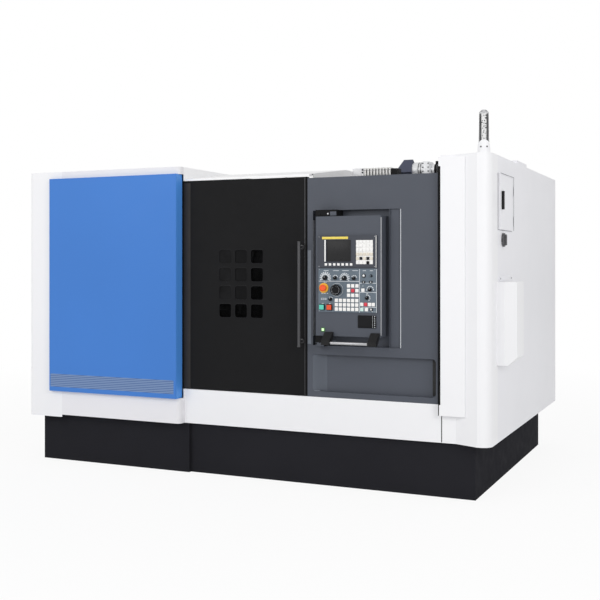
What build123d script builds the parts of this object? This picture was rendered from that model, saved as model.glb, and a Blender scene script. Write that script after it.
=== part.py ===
from build123d import *
import math
import os

# Slant-bed turning lathe, millimetres. +X is the operator's right, +Y the rear and +Z up.
# The origin is on the floor, near the middle of the plinth's footprint.

# Sheet metal and running clearances
sheet = 3.0
overrun = 5.0
slide_gap = 0.3
door_gap = 3.0
fit_clearance = 0.05
seat_lap = 50.0

# Reach of the left end, the front and the plinth's rear from the origin
left_reach = 1692.0
front_reach = 1030.0
plinth_rear = 980.0

# Plinth and how far the covers stand over it
plinth_height = 337.0
plinth_setback = 35.0
plinth_step = 25.0
plinth_step_offset = 30.0
left_overhang = 86.0
right_overhang = 112.0
rear_overhang = 110.0

# Left end cover, the white frame and the blue cover
left_width = 1281.0
end_cover_width = 297.0
end_cover_radius = 40.0
end_cover_drop = 17.0
frame_proud = 60.0
frame_return = 48.0
frame_radius = 30.0
frame_stile = 55.0
blue_proud = 30.0
blue_overlap = 92.0
blue_inset = 13.0
blue_lift = 171.0
blue_drop = 51.0
blue_lap = 15.0
blue_edge_radius = 6.0

# Sill, header beam and door rail
sill_height = 231.0
sill_depth = 100.0
beam_setback = 67.0
beam_depth = 43.0
beam_drop = 18.0
beam_height = 80.0
rail_depth = 20.0
rail_lift = 25.0
rail_height = 34.7

# Sliding door
door_lap = 59.0
door_reach = 912.0
door_rise = 8.0
door_depth = 35.0
door_left_radius = 30.0
window_offset = 433.0
window_lift = 716.0
window_hole = 90.0
window_hole_radius = 15.0
window_pitch_x = 118.0
window_pitch_z = 120.0
window_columns = 3
window_rows = 4
pane_margin = 25.0
pane_thickness = 6.0
door_handle_inset = 34.0
door_handle_reach = 50.0
door_handle_lift = 316.0
door_handle_length = 674.0
door_handle_radius = 11.0
standoff_radius = 9.0
standoff_inset = 35.0
hanger_width = 80.0
hanger_plate = 8.0
hanger_height = 95.0
hanger_inset = 170.0
roller_radius = 22.0
roller_width = 22.0

# Grey front cover with the control niche and the toe recess
grey_depth = 40.0
grey_margin = 234.0
grey_head = 211.0
niche_margin = 38.0
niche_side = 30.0
niche_lift = 58.0
niche_head = 42.0
niche_depth = 45.0
trim_strip_width = 73.0
trim_strip_depth = 12.0
recess_margin_left = 34.0
recess_margin_right = 11.0
recess_lift = 37.0
recess_height = 235.0
recess_depth = 34.0
recess_radius = 25.0

# Corner column and its flat trim panel
column_gap = 15.0
column_width = 321.0
column_flat = 99.0
column_nose_inset = 79.0
column_nose_proud = 60.0
column_radius = 62.0
column_depth = 130.0
trim_panel_width = 162.0
trim_panel_proud = 36.0
trim_panel_lift = 168.0
trim_panel_drop = 16.0

# Side cover, cabinet door, latch, main switch, heat exchanger and roof vent
side_return = 102.0
cabinet_setback = 8.0
cabinet_width = 363.0
cabinet_drop = 106.0
cabinet_height = 343.0
cabinet_lip = 22.0
cabinet_depth = 14.0
hinge_offset_x = 9.0
hinge_offset_y = 10.0
knuckle_radius = 8.0
hinge_pin_radius = 4.0
knuckle_length = 30.0
hinge_inset = 60.0
latch_inset = 47.0
latch_width = 26.0
latch_drop = 108.0
latch_length = 112.0
latch_thickness = 13.0
latch_stem_radius = 6.0
switch_inset = 127.0
switch_drop = 61.0
switch_radius = 42.0
switch_thickness = 12.0
switch_grip_width = 18.0
switch_grip_height = 13.0
switch_stem_radius = 8.0
exchanger_lap = 30.0
exchanger_length = 256.0
exchanger_lift = 471.0
exchanger_height = 502.0
exchanger_depth = 110.0
exchanger_chamfer = 60.0
exchanger_underside = 45.0
vent_setback = 570.0
vent_length = 310.0
vent_width = 190.0
vent_height = 22.0
vent_slot = 12.0
vent_slots = 6

# Roof, rear cover, cabinet wall and cable tray, in depth from the spindle axis
roof_rise = 98.0
roof_overlap = 14.0
roof_lip = 14.0
roof_ridge_offset = 120.0
roof_rear_offset = 380.0
rear_roof_offset = 860.0
cabinet_wall_offset = 22.0
tray_offset = 250.0
tray_depth = 100.0
tray_height = 30.0
tray_drop = 46.0
terminal_width = 82.0
terminal_height = 67.0
link_run = 250.0
link_height = 66.0
link_core_drop = 8.0
link_end = 44.0
link_count = 9
link_fill_share = 0.5

# Signal beacon
beacon_inset = 77.0
beacon_offset = 30.0
beacon_base_radius = 36.0
beacon_base_height = 30.0
beacon_radius = 33.0
beacon_top_radius = 28.0
beacon_lens_height = 228.0
beacon_cap_height = 14.0

# Spindle axis and the slant of the bed
spindle_depth = 520.0
spindle_height = 783.0
slant = 60.0
bed_depth = 480.0
bed_low = -260.0
bed_high = 720.0
bed_top_width = 254.0
bed_rear_inset = 360.0
way_height = 45.0
way_width = 60.0
carriage_way_low = 140.0
carriage_way_high = 640.0
tail_way_low = -125.0
tail_way_high = 45.0
tail_way_width = 46.0

# Headstock, spindle and chuck
headstock_gap = 20.0
headstock_length = 480.0
headstock_half = 200.0
headstock_front = 200.0
headstock_radius = 60.0
bearing_radius = 110.0
bearing_width = 60.0
spindle_radius = 75.0
spindle_bore = 39.0
spindle_nose_radius = 105.0
nose_gap = 5.0
chuck_gap = 20.0
chuck_length = 120.0
chuck_radius = 157.0
chuck_bore = 45.0
jaw_slot_depth = 40.0
jaw_width = 46.0
jaw_side_gap = 0.1
jaw_inner = 60.0
jaw_outer = 148.0
jaw_step = 108.0
jaw_reach = 60.0
jaw_count = 3

# Belt drive and spindle motor
pulley_offset = 200.0
pulley_width = 90.0
spindle_pulley_radius = 130.0
motor_pulley_radius = 85.0
belt_width = 80.0
belt_thickness = 10.0
motor_drop = 110.0
motor_lift = 183.0
motor_radius = 150.0
motor_offset = 60.0
motor_length = 500.0
motor_foot_half = 120.0
motor_foot_length = 380.0
motor_shaft_radius = 30.0
motor_shaft_depth = 60.0

# Chamber wall and chip trough
wall_offset = 89.0
wall_hole = 112.0
wall_rear_n = -410.0
trough_setback = 38.0
trough_lean = 65.0
trough_sheet = 4.0

# Carriage, cross slide and turret, in slant coordinates (along the slant, off the bed)
saddle_offset = 175.0
saddle_length = 420.0
saddle_low = 95.0
saddle_high = 1060.0
saddle_thickness = 50.0
cross_margin = 25.0
cross_length = 320.0
cross_thickness = 85.0
turret_s = 480.0
turret_half = 120.0
turret_front = 110.0
turret_edge_radius = 40.0
disc_reach = 90.0
disc_width = 110.0
disc_radius = 210.0
disc_stations = 12
spigot_radius = 40.0
holder_height = 42.0
holder_width = 66.0
holder_length = 64.0
bar_radius = 16.0
bar_sides = 12
bar_length = 80.0
drive_offset = 45.0
drive_width = 119.0
drive_height = 108.0
drive_front = 80.0
drive_lean = 51.0
drive_motor_radius = 55.0
drive_motor_length = 180.0
drive_motor_n = 20.0
encoder_radius = 40.0
encoder_length = 46.0

# Telescopic way covers
way_cover_length = 320.0
way_cover_sheet = 2.5
way_cover_high = 700.0
way_cover_count = 4
way_cover_lip = 3.0

# Tailstock and quill
tail_length = 320.0
tail_low = -150.0
tail_high = 70.0
tail_housing_radius = 84.0
quill_radius = 45.0
quill_reach = 60.0
quill_cone_length = 40.0
quill_nose_radius = 16.0
quill_length = 300.0

# Control box and what it carries, stacked upwards from the box's foot
box_margin = 45.0
box_lift = 68.0
box_head = 122.0
box_proud = 70.0
box_depth = 110.0
box_radius = 12.0
pivot_inset_x = 14.0
pivot_inset_y = 30.0
pivot_radius = 8.0
pivot_reach = 14.0
bracket_gap = 3.0
bracket_length = 144.0
bracket_foot = 60.0
bracket_setback = 7.0
panel_margin = 26.0
display_width = 390.0
display_height = 200.0
display_proud = 12.0
screen_inset = 57.0
screen_width = 165.0
screen_drop = 27.0
screen_height = 135.0
screen_recess = 4.0
soft_key_count = 7
soft_key_pitch = 28.3
soft_key_drop = 18.0
soft_key_width = 16.0
soft_key_height = 14.0
keypad_offset = 312.0
keypad_lift = 96.0
keypad_columns = 5
keypad_rows = 6
keypad_pitch_x = 22.9
keypad_pitch_z = 26.0
keypad_key = 18.0
key_proud = 3.0
plate_gap = 5.0
cutout_margin = 12.0
plate_height = 273.0
plate_proud = 6.0
key_size = 21.0
rocker_height = 14.0
small_grid_share = (0.597, 0.497)
small_grid_pitch_x = 27.6
small_grid_pitch_z = 29.4
small_grid_count = 3
large_grid_share = (0.490, 0.170)
large_grid_pitch = 27.3
large_grid_columns = 6
large_grid_rows = 3
stop_ring_radius = 30.0
stop_ring_height = 4.0
knob_radius = 10.0
knob_height = 13.0
knob_sides = 12
lamp_radius = 6.5
lamp_height = 5.0
toggle_radius = 3.5
toggle_height = 15.0
knob_shares = ((0.294, 0.782), (0.616, 0.776), (0.888, 0.520), (0.838, 0.334), (0.213, 0.292))
button_shares = (
    (0.769, 0.509),
    (0.750, 0.188),
    (0.814, 0.188),
    (0.879, 0.188),
    (0.942, 0.188),
    (0.750, 0.072),
    (0.828, 0.072),
)
rocker_shares = ((0.780, 0.693), (0.901, 0.693))
lamp_shares = ((0.783, 0.834), (0.909, 0.072))
toggle_shares = ((0.907, 0.834),)
stop_share = (0.096, 0.550)
wheel_share = (0.322, 0.509)
feed_share = (0.122, 0.785)
speed_share = (0.454, 0.779)
start_share = (0.064, 0.108)
hold_share = (0.194, 0.108)
stem_radius = 8.0
stem_depth = 12.0
stop_cap_radius = 21.0
stop_cap_height = 18.0
stop_neck_height = 12.0
wheel_radius = 33.0
wheel_thickness = 14.0
wheel_standoff = 14.0
wheel_hub_radius = 14.0
crank_radius = 5.5
crank_height = 16.0
crank_share = 0.7
override_radius = 14.0
override_height = 18.0
pointer_width = 5.0
push_size = 30.0
push_height = 7.0
push_gap = 6.0
port_lift = 56.0
port_inset = 151.0
port_width = 119.0
port_height = 78.0
port_gap = 17.0
port_thickness = 5.0
lamp_inset = 56.0
lamp_lift = 39.0
grip_inset = 71.0
grip_end_inset = 9.0
grip_width = 55.0
grip_drop = 39.0
grip_radius = 9.0
grip_proud = 72.0
grip_shoulder = 12.0
grip_thickness = 26.0

turn_x = (0, 90, 0)
turn_y = (-90, 0, 0)
lowest = (Align.MIN, Align.MIN, Align.MIN)
on_end = (Align.CENTER, Align.CENTER, Align.MIN)
corner = (Align.MIN, Align.MIN)

# Places across the front, from the left end to the right
bay_left = -left_reach + left_width
frame_left = -left_reach + end_cover_width
blue_left = frame_left - blue_overlap
blue_right = bay_left - blue_inset
door_left = bay_left - door_lap
door_right = bay_left + door_reach
window_x = bay_left + window_offset
door_handle_x = door_right - door_handle_inset
roof_right = door_right + roof_overlap
grey_left = door_right + door_gap
niche_left = grey_left + niche_margin
box_left = niche_left + box_margin
display_left = box_left + panel_margin
display_right = display_left + display_width
box_right = display_right + panel_margin
niche_right = box_right + niche_side
strip_right = niche_right + trim_strip_width
grey_right = strip_right + grey_margin
recess_left = grey_left + recess_margin_left
recess_right = grey_right - recess_margin_right
column_left = grey_right + column_gap
right_reach = column_left + column_width
column_nose_x = right_reach - column_nose_inset
cabinet_wall_x = column_left + cabinet_wall_offset
plinth_left = -left_reach + left_overhang
plinth_right = right_reach - right_overhang
plinth_step_x = bay_left + plinth_step_offset
terminal_left = roof_right
terminal_right = terminal_left + terminal_width
link_right = terminal_right + link_run
beacon_x = right_reach - beacon_inset

# Places up the front, from the floor to the top
sill_top = plinth_height + sill_height
door_bottom = sill_top + door_gap
recess_bottom = sill_top + recess_lift
recess_top = recess_bottom + recess_height
niche_bottom = recess_top + niche_lift
box_bottom = niche_bottom + box_lift
port_bottom = box_bottom + port_lift
port_top = port_bottom + port_height
plate_bottom = port_top + port_gap
plate_top = plate_bottom + plate_height
display_bottom = plate_top + plate_gap
display_top = display_bottom + display_height
box_top = display_top + box_head
niche_top = box_top + niche_head
grey_top = niche_top + grey_head
door_top = grey_top + door_rise
cover_top = door_top + roof_rise
tray_top = cover_top - tray_drop
beam_top = door_top - beam_drop
beam_bottom = beam_top - beam_height
rail_bottom = beam_bottom + rail_lift
rail_top = rail_bottom + rail_height
blue_bottom = plinth_height + blue_lift
blue_top = cover_top - blue_drop
window_z = door_bottom + window_lift
door_handle_bottom = door_bottom + door_handle_lift
door_handle_top = door_handle_bottom + door_handle_length
trim_panel_bottom = plinth_height + trim_panel_lift
trim_panel_top = cover_top - trim_panel_drop
cabinet_top = cover_top - cabinet_drop
cabinet_bottom = cabinet_top - cabinet_height
latch_top = cabinet_top - latch_drop
latch_bottom = latch_top - latch_length
switch_z = cabinet_bottom - switch_drop
exchanger_bottom = plinth_height + exchanger_lift
exchanger_top = exchanger_bottom + exchanger_height

# Places in depth, counted towards the operator, then those that lie behind the origin
plinth_front = front_reach - plinth_setback
frame_reach = front_reach + frame_proud
blue_reach = frame_reach + blue_proud
column_nose_reach = front_reach + column_nose_proud
trim_panel_reach = front_reach + trim_panel_proud
column_rear = front_reach - column_depth
cabinet_front = column_rear - cabinet_setback
cabinet_rear = cabinet_front - cabinet_width
exchanger_front = column_rear + exchanger_lap
exchanger_rear = exchanger_front - exchanger_length
vent_front = column_rear - vent_setback
vent_rear = vent_front - vent_length
beam_front = front_reach - beam_setback
trough_front = beam_front - trough_setback
trough_foot = trough_front - trough_lean
box_front = front_reach + box_proud
box_rear = box_front - box_depth
bracket_front = box_front - bracket_setback
niche_back = -front_reach + niche_depth
rear_reach = plinth_rear + rear_overhang
latch_y = -cabinet_front + latch_inset
switch_y = -cabinet_front + switch_inset
beacon_y = -column_rear - beacon_offset
pivot_y = -box_front + pivot_inset_y
door_front = -front_reach
door_back = door_front + door_depth
frame_back = -frame_reach + frame_return
spindle_y = door_front + spindle_depth
roof_ridge_y = spindle_y + roof_ridge_offset
roof_rear_y = spindle_y + roof_rear_offset
rear_roof_front = spindle_y + rear_roof_offset
tray_front = -spindle_y - tray_offset
tray_rear = tray_front - tray_depth
bed_rear_y = plinth_rear - bed_rear_inset

# Places inside, from the headstock to the tailstock
spindle_z = plinth_height + spindle_height
wall_x = bay_left - wall_offset
headstock_right = wall_x - headstock_gap
chuck_left = wall_x + chuck_gap
chuck_right = chuck_left + chuck_length
bed_left = headstock_right - headstock_length
bed_right = cabinet_wall_x - sheet
pulley_left = bed_left - pulley_offset
motor_left = bed_left - motor_offset
motor_y = spindle_y - motor_drop
motor_z = plinth_height + motor_lift
along = (0, math.cos(math.radians(slant)), math.sin(math.radians(slant)))
off_bed = (0, -along[2], along[1])
way_top = -bed_depth + way_height
saddle_left = roof_right + saddle_offset
saddle_right = saddle_left + saddle_length
saddle_bottom = way_top + slide_gap
saddle_top = saddle_bottom + saddle_thickness
cross_bottom = saddle_top + slide_gap
cross_top = cross_bottom + cross_thickness
turret_left = saddle_left + cross_margin
turret_right = saddle_right - cross_margin
disc_left = saddle_left - disc_reach
drive_left = turret_left + drive_offset
drive_right = drive_left + drive_width
way_cover_step = way_cover_sheet + slide_gap
tail_left = bed_right - tail_length
quill_tip_x = tail_left - quill_reach

# Places on the control box
pivot_x = box_left + pivot_inset_x
screen_left = display_left + screen_inset
screen_right = screen_left + screen_width
screen_top = display_top - screen_drop
screen_bottom = screen_top - screen_height
soft_key_z = screen_bottom - soft_key_drop
keypad_x = display_left + keypad_offset
keypad_z = display_bottom + keypad_lift
plate_left = display_left
plate_right = display_right
plate_front = -box_front - plate_proud
port_left = box_right - port_inset
port_right = port_left + port_width
lamp_x = box_left + lamp_inset
lamp_z = box_bottom + lamp_lift
grip_left = box_left + grip_inset
grip_right = box_right - grip_end_inset
grip_z = box_bottom - grip_drop


def slant_yz(s, n):
    """Y and Z of a point given along the slant and off the bed, from the spindle axis."""
    return (spindle_y + s * along[1] + n * off_bed[1], spindle_z + s * along[2] + n * off_bed[2])


def slant_plane(x, s=0, n=0):
    """A plane across the lathe whose first axis climbs the slant and whose second leaves the bed."""
    return Plane(origin=(x, *slant_yz(s, n)), x_dir=along, z_dir=(1, 0, 0))


def radial_plane(x, centre, angle):
    """A plane across the lathe whose first axis leaves a centre at an angle from the rear."""
    turn = math.radians(angle)
    outward = (0, math.cos(turn), math.sin(turn))
    return Plane(origin=(x, *centre), x_dir=outward, z_dir=(1, 0, 0))


def block(xs, ys, zs, mode=Mode.ADD):
    """A block between two limits on each axis, in the open part."""
    with Locations((xs[0], ys[0], zs[0])):
        Box(xs[1] - xs[0], ys[1] - ys[0], zs[1] - zs[0], align=lowest, mode=mode)


def slant_block(xs, ss, ns, mode=Mode.ADD):
    """A block that lies square to the bed, in the open part."""
    with Locations(slant_plane(xs[0], ss[0], ns[0])):
        Box(ss[1] - ss[0], ns[1] - ns[0], xs[1] - xs[0], align=lowest, mode=mode)


def rod(start, radius, length, turn=(0, 0, 0), mode=Mode.ADD):
    """A round bar from a point, along Z unless it is turned, in the open part."""
    with Locations(start):
        Cylinder(radius, length, rotation=turn, align=on_end, mode=mode)


def tray(xs, ys, zs):
    """A folded panel, a face sheet with four returns, open towards the rear."""
    block(xs, ys, zs)
    inner_x = (xs[0] + sheet, xs[1] - sheet)
    inner_z = (zs[0] + sheet, zs[1] - sheet)
    block(inner_x, (ys[0] + sheet, ys[1]), inner_z, Mode.SUBTRACT)


def on_plate(share):
    """X and Z of a control, from its share of the operator panel's width and height."""
    x = plate_left + share[0] * (plate_right - plate_left)
    z = plate_bottom + share[1] * (plate_top - plate_bottom)
    return (x, z)


def save(builder, name):
    """Labels a finished piece and writes it."""
    builder.part.label = name
    export_step(builder.part, f"parts/{name}.step")


os.makedirs("parts", exist_ok=True)

# Plinth, a little further forward under the blue cover
with BuildPart() as base_plinth:
    with BuildSketch():
        with BuildLine():
            Polyline(
                (plinth_left, -plinth_front - plinth_step),
                (plinth_step_x, -plinth_front - plinth_step),
                (plinth_step_x, -plinth_front),
                (plinth_right, -plinth_front),
                (plinth_right, plinth_rear),
                (plinth_left, plinth_rear),
                close=True,
            )
        make_face()
    extrude(amount=plinth_height)
save(base_plinth, "base_plinth")

# Slant bed casting with its four guideways
bed_foot = slant_yz(bed_low, -bed_depth)
bed_head = slant_yz(bed_high, -bed_depth)
with BuildPart() as bed:
    with BuildSketch(Plane.YZ.offset(bed_left)):
        with BuildLine():
            Polyline(
                (bed_foot[0], plinth_height),
                bed_foot,
                bed_head,
                (bed_head[0] + bed_top_width, bed_head[1]),
                (bed_rear_y, plinth_height),
                close=True,
            )
        make_face()
    extrude(amount=bed_right - bed_left)
    for way in (carriage_way_low, carriage_way_high):
        way_sides = (way - way_width / 2, way + way_width / 2)
        slant_block((headstock_right, bed_right), way_sides, (-bed_depth, way_top))
    for way in (tail_way_low, tail_way_high):
        way_sides = (way - tail_way_width / 2, way + tail_way_width / 2)
        slant_block((headstock_right, bed_right), way_sides, (-bed_depth, way_top))
save(bed, "bed")

# White end cover, wrapped round the left end with a rounded front corner
with BuildPart() as left_end_cover:
    skirt_z = plinth_height - end_cover_drop
    with BuildSketch(Plane.XY.offset(skirt_z)):
        with Locations((-left_reach, -frame_reach)):
            Rectangle(end_cover_width, frame_reach + rear_reach, align=corner)
        fillet(vertices().group_by(Axis.Y)[0].sort_by(Axis.X)[0], end_cover_radius)
    extrude(amount=cover_top - skirt_z)
    with BuildSketch(Plane.XY.offset(skirt_z)):
        with Locations((-left_reach + sheet, -frame_reach + sheet)):
            Rectangle(end_cover_width, frame_reach + rear_reach - 2 * sheet, align=corner)
        fillet(vertices().group_by(Axis.Y)[0].sort_by(Axis.X)[0], end_cover_radius - sheet)
    extrude(amount=cover_top - skirt_z, mode=Mode.SUBTRACT)
    block(
        (-left_reach + sheet, plinth_left + seat_lap),
        (-frame_reach + end_cover_radius, rear_reach - sheet),
        (plinth_height, plinth_height + sheet),
    )
save(left_end_cover, "left_end_cover")

# White frame behind the blue cover, open where the cover stands
with BuildPart() as left_front_frame:
    with BuildSketch(Plane.XY.offset(plinth_height)):
        with Locations((frame_left, -frame_reach)):
            Rectangle(bay_left - frame_left, frame_return, align=corner)
        fillet(vertices().group_by(Axis.Y)[0].sort_by(Axis.X)[-1], frame_radius)
    extrude(amount=cover_top - plinth_height)
    with BuildSketch(Plane.XY.offset(plinth_height)):
        with Locations((frame_left, -frame_reach + sheet)):
            Rectangle(bay_left - sheet - frame_left, frame_return, align=corner)
        fillet(vertices().group_by(Axis.Y)[0].sort_by(Axis.X)[-1], frame_radius - sheet)
    extrude(amount=cover_top - plinth_height, mode=Mode.SUBTRACT)
    block(
        (frame_left + frame_stile, blue_right),
        (-frame_reach - overrun, frame_back),
        (blue_bottom + blue_lap, blue_top - blue_lap),
        Mode.SUBTRACT,
    )
    block(
        (blue_right - 2 * sheet, bay_left + overrun),
        (-frame_reach - overrun, frame_back + overrun),
        (blue_bottom, blue_top),
        Mode.SUBTRACT,
    )
    block(
        (frame_left, bay_left - frame_radius),
        (-frame_reach + sheet, frame_back),
        (plinth_height, plinth_height + sheet),
    )
    block((bay_left - sheet, bay_left), (frame_back, door_front + sheet), (plinth_height, sill_top))
save(left_front_frame, "left_front_frame")

# Blue cover, with a deep return beside the door
with BuildPart() as blue_front_cover:
    block((blue_left, blue_right), (-blue_reach, -frame_reach), (blue_bottom, blue_top))
    fillet(edges().filter_by(Axis.Z).group_by(Axis.Y)[0], blue_edge_radius)
    block(
        (blue_left + sheet, blue_right - sheet),
        (-blue_reach + sheet, -frame_reach),
        (blue_bottom + sheet, blue_top - sheet),
        Mode.SUBTRACT,
    )
    block((blue_right - sheet, blue_right), (-frame_reach, frame_back), (blue_bottom, blue_top))
save(blue_front_cover, "blue_front_cover")

# Roof: flat over the headstock, then sloping up from the door to a flat strip, with flanges that
# stand on the header beam
with BuildPart() as roof_cover:
    with BuildSketch(Plane.XY.offset(cover_top - sheet)):
        with Locations((-left_reach + sheet, -frame_reach + sheet)):
            Rectangle(
                left_reach - sheet + bay_left, frame_reach + rear_reach - 2 * sheet, align=corner
            )
        fillet(vertices().group_by(Axis.Y)[0].sort_by(Axis.X)[0], end_cover_radius - sheet)
        chamfer(vertices().group_by(Axis.Y)[0].sort_by(Axis.X)[-1], frame_radius)
    extrude(amount=sheet)
    block(
        (bay_left - sheet, bay_left),
        (-frame_reach, frame_back),
        (cover_top - sheet, cover_top),
        Mode.SUBTRACT,
    )
    lip_bottom = door_top + door_gap
    lip_top = lip_bottom + roof_lip
    block((bay_left - sheet, bay_left), (-beam_front, roof_rear_y), (beam_top, cover_top - sheet))
    block((bay_left - sheet, bay_left), (frame_back, door_back), (lip_bottom, cover_top - sheet))
    block((bay_left - sheet, bay_left), (door_back, -beam_front), (lip_top, cover_top - sheet))
    under = cover_top - sheet
    with BuildSketch(Plane.YZ.offset(bay_left)):
        with BuildLine():
            Polyline(
                (door_front, lip_bottom),
                (door_front, lip_top),
                (roof_ridge_y, cover_top),
                (roof_rear_y, cover_top),
                (roof_rear_y, under),
                (roof_ridge_y, under),
                (door_front + sheet, lip_top - sheet),
                (door_front + sheet, lip_bottom),
                close=True,
            )
        make_face()
    extrude(amount=roof_right - bay_left)
    with BuildSketch(Plane.YZ.offset(roof_right - sheet)):
        slope_share = (-beam_front - door_front) / (roof_ridge_y - door_front)
        with BuildLine():
            Polyline(
                (-beam_front, beam_top),
                (-beam_front, lip_top + slope_share * (cover_top - lip_top)),
                (roof_ridge_y, cover_top),
                (roof_rear_y, cover_top),
                (roof_rear_y, beam_top),
                close=True,
            )
        make_face()
    extrude(amount=sheet)
save(roof_cover, "roof_cover")

# White sill under the door and the grey cover
with BuildPart() as front_sill:
    block((bay_left, column_left), (door_front, door_front + sill_depth), (plinth_height, sill_top))
    block(
        (bay_left - overrun, column_left + overrun),
        (door_front + sheet, door_front + sill_depth + overrun),
        (plinth_height + sheet, sill_top - sheet),
        Mode.SUBTRACT,
    )
save(front_sill, "front_sill")

# Header beam across the front, with the rail that the door hangs from
with BuildPart() as door_rail:
    beam_left = -left_reach + sheet
    block((beam_left, column_left), (-beam_front, -beam_front + beam_depth), (beam_bottom, beam_top))
    block((beam_left, door_right), (-beam_front - rail_depth, -beam_front), (rail_bottom, rail_top))
save(door_rail, "door_rail")

# Rear cover, with the roof return behind the carriage slot
with BuildPart() as rear_cover:
    rear_right = right_reach - side_return
    block((frame_left, rear_right), (rear_reach - sheet, rear_reach), (plinth_height, cover_top))
    block(
        (bay_left, cabinet_wall_x),
        (rear_roof_front, rear_reach - sheet),
        (cover_top - sheet, cover_top),
    )
    block(
        (frame_left, cabinet_wall_x),
        (plinth_rear - seat_lap, rear_reach - sheet),
        (plinth_height, plinth_height + sheet),
    )
save(rear_cover, "rear_cover")

# Corner column: flat, then angled forward, then rounded into the side, with its flat trim panel
# and the beacon's foot
with BuildPart() as corner_column:
    column_outline = (
        (column_left, door_front),
        (column_left + column_flat, door_front),
        (column_nose_x, -column_nose_reach),
        (right_reach, -column_nose_reach),
        (right_reach, -column_rear),
        (column_left, -column_rear),
    )
    with BuildSketch(Plane.XY.offset(plinth_height)):
        with BuildLine():
            Polyline(*column_outline, close=True)
        make_face()
        fillet(vertices().group_by(Axis.X)[-1].sort_by(Axis.Y)[0], column_radius)
    extrude(amount=cover_top - plinth_height)
    with BuildSketch(Plane.XY.offset(plinth_height + sheet)):
        with BuildLine():
            Polyline(*column_outline, close=True)
        make_face()
        fillet(vertices().group_by(Axis.X)[-1].sort_by(Axis.Y)[0], column_radius)
        offset(amount=-sheet, mode=Mode.REPLACE)
    extrude(amount=cover_top - plinth_height - 2 * sheet, mode=Mode.SUBTRACT)
    block(
        (column_left + sheet, right_reach - sheet),
        (-column_rear - 2 * sheet, -column_rear),
        (plinth_height + sheet, cover_top - sheet),
        Mode.SUBTRACT,
    )
    flat_end = column_left + column_flat
    trim_right = column_left + trim_panel_width
    flare = (column_nose_reach - front_reach) / (column_nose_x - flat_end)
    with BuildSketch(Plane.XY.offset(trim_panel_bottom)):
        with BuildLine():
            Polyline(
                (column_left, door_front),
                (column_left, -trim_panel_reach),
                (trim_right, -trim_panel_reach),
                (trim_right, door_front - flare * (trim_right - flat_end)),
                (flat_end, door_front),
                close=True,
            )
        make_face()
    extrude(amount=trim_panel_top - trim_panel_bottom)
    rod((beacon_x, beacon_y, cover_top), beacon_base_radius, beacon_base_height)
save(corner_column, "corner_column")

# Side cover of the electrical cabinet, with the fixed hinge halves, their pins and the roof vent
hinge_x = right_reach + hinge_offset_x
hinge_y = -cabinet_rear + hinge_offset_y
hinge_heights = (cabinet_bottom + hinge_inset, cabinet_top - hinge_inset - knuckle_length)
with BuildPart() as side_cover:
    side_inner = right_reach - sheet
    block((side_inner, right_reach), (-column_rear, rear_reach), (plinth_height, cover_top))
    block((rear_right, side_inner), (rear_reach - sheet, rear_reach), (plinth_height, cover_top))
    block(
        (cabinet_wall_x, side_inner),
        (-column_rear, rear_reach - sheet),
        (cover_top - sheet, cover_top),
    )
    block(
        (plinth_right - seat_lap, side_inner),
        (-column_rear, rear_reach - sheet),
        (plinth_height, plinth_height + sheet),
    )
    block(
        (side_inner, right_reach),
        (-cabinet_front + cabinet_lip, -cabinet_rear - cabinet_lip),
        (cabinet_bottom + cabinet_lip, cabinet_top - cabinet_lip),
        Mode.SUBTRACT,
    )
    switch_hole = switch_stem_radius + fit_clearance
    rod((side_inner, switch_y, switch_z), switch_hole, sheet, turn_x, Mode.SUBTRACT)
    for hinge_z in hinge_heights:
        foot_z = hinge_z - knuckle_length
        rod((hinge_x, hinge_y, foot_z), hinge_pin_radius, 2 * knuckle_length)
        rod((hinge_x, hinge_y, foot_z), knuckle_radius, knuckle_length - slide_gap)
        block(
            (right_reach, hinge_x),
            (hinge_y, hinge_y + knuckle_radius),
            (foot_z, hinge_z - slide_gap),
        )
    vent_left = side_inner - vent_width
    block((vent_left, side_inner), (-vent_front, -vent_rear), (cover_top, cover_top + vent_height))
    vent_pitch = (vent_front - vent_rear) / (vent_slots + 1)
    for slot in range(vent_slots):
        slot_y = -vent_front + (slot + 1) * vent_pitch
        block(
            (vent_left + 2 * vent_slot, side_inner - 2 * vent_slot),
            (slot_y - vent_slot / 2, slot_y + vent_slot / 2),
            (cover_top + vent_height / 2, cover_top + vent_height),
            Mode.SUBTRACT,
        )
save(side_cover, "side_cover")

# Wall between the work area and the cabinet
with BuildPart() as cabinet_wall:
    block(
        (cabinet_wall_x, cabinet_wall_x + sheet),
        (-column_rear + sheet, rear_reach - sheet),
        (plinth_height, cover_top - sheet),
    )
save(cabinet_wall, "cabinet_wall")

# Hinged cabinet door with its two knuckles
with BuildPart() as cabinet_door:
    block(
        (right_reach, right_reach + cabinet_depth),
        (-cabinet_front, -cabinet_rear),
        (cabinet_bottom, cabinet_top),
    )
    block(
        (right_reach, right_reach + cabinet_depth - sheet),
        (-cabinet_front + sheet, -cabinet_rear - sheet),
        (cabinet_bottom + sheet, cabinet_top - sheet),
        Mode.SUBTRACT,
    )
    for hinge_z in hinge_heights:
        rod((hinge_x, hinge_y, hinge_z), knuckle_radius, knuckle_length)
        block(
            (hinge_x - hinge_pin_radius, hinge_x + hinge_pin_radius),
            (-cabinet_rear, hinge_y),
            (hinge_z, hinge_z + knuckle_length),
        )
        bore = hinge_pin_radius + fit_clearance
        rod((hinge_x, hinge_y, hinge_z), bore, knuckle_length, mode=Mode.SUBTRACT)
    latch_z = latch_top - latch_width / 2
    latch_hole = latch_stem_radius + fit_clearance
    skin_x = right_reach + cabinet_depth - sheet
    rod((skin_x, latch_y, latch_z), latch_hole, sheet, turn_x, Mode.SUBTRACT)
save(cabinet_door, "cabinet_door")

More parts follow.
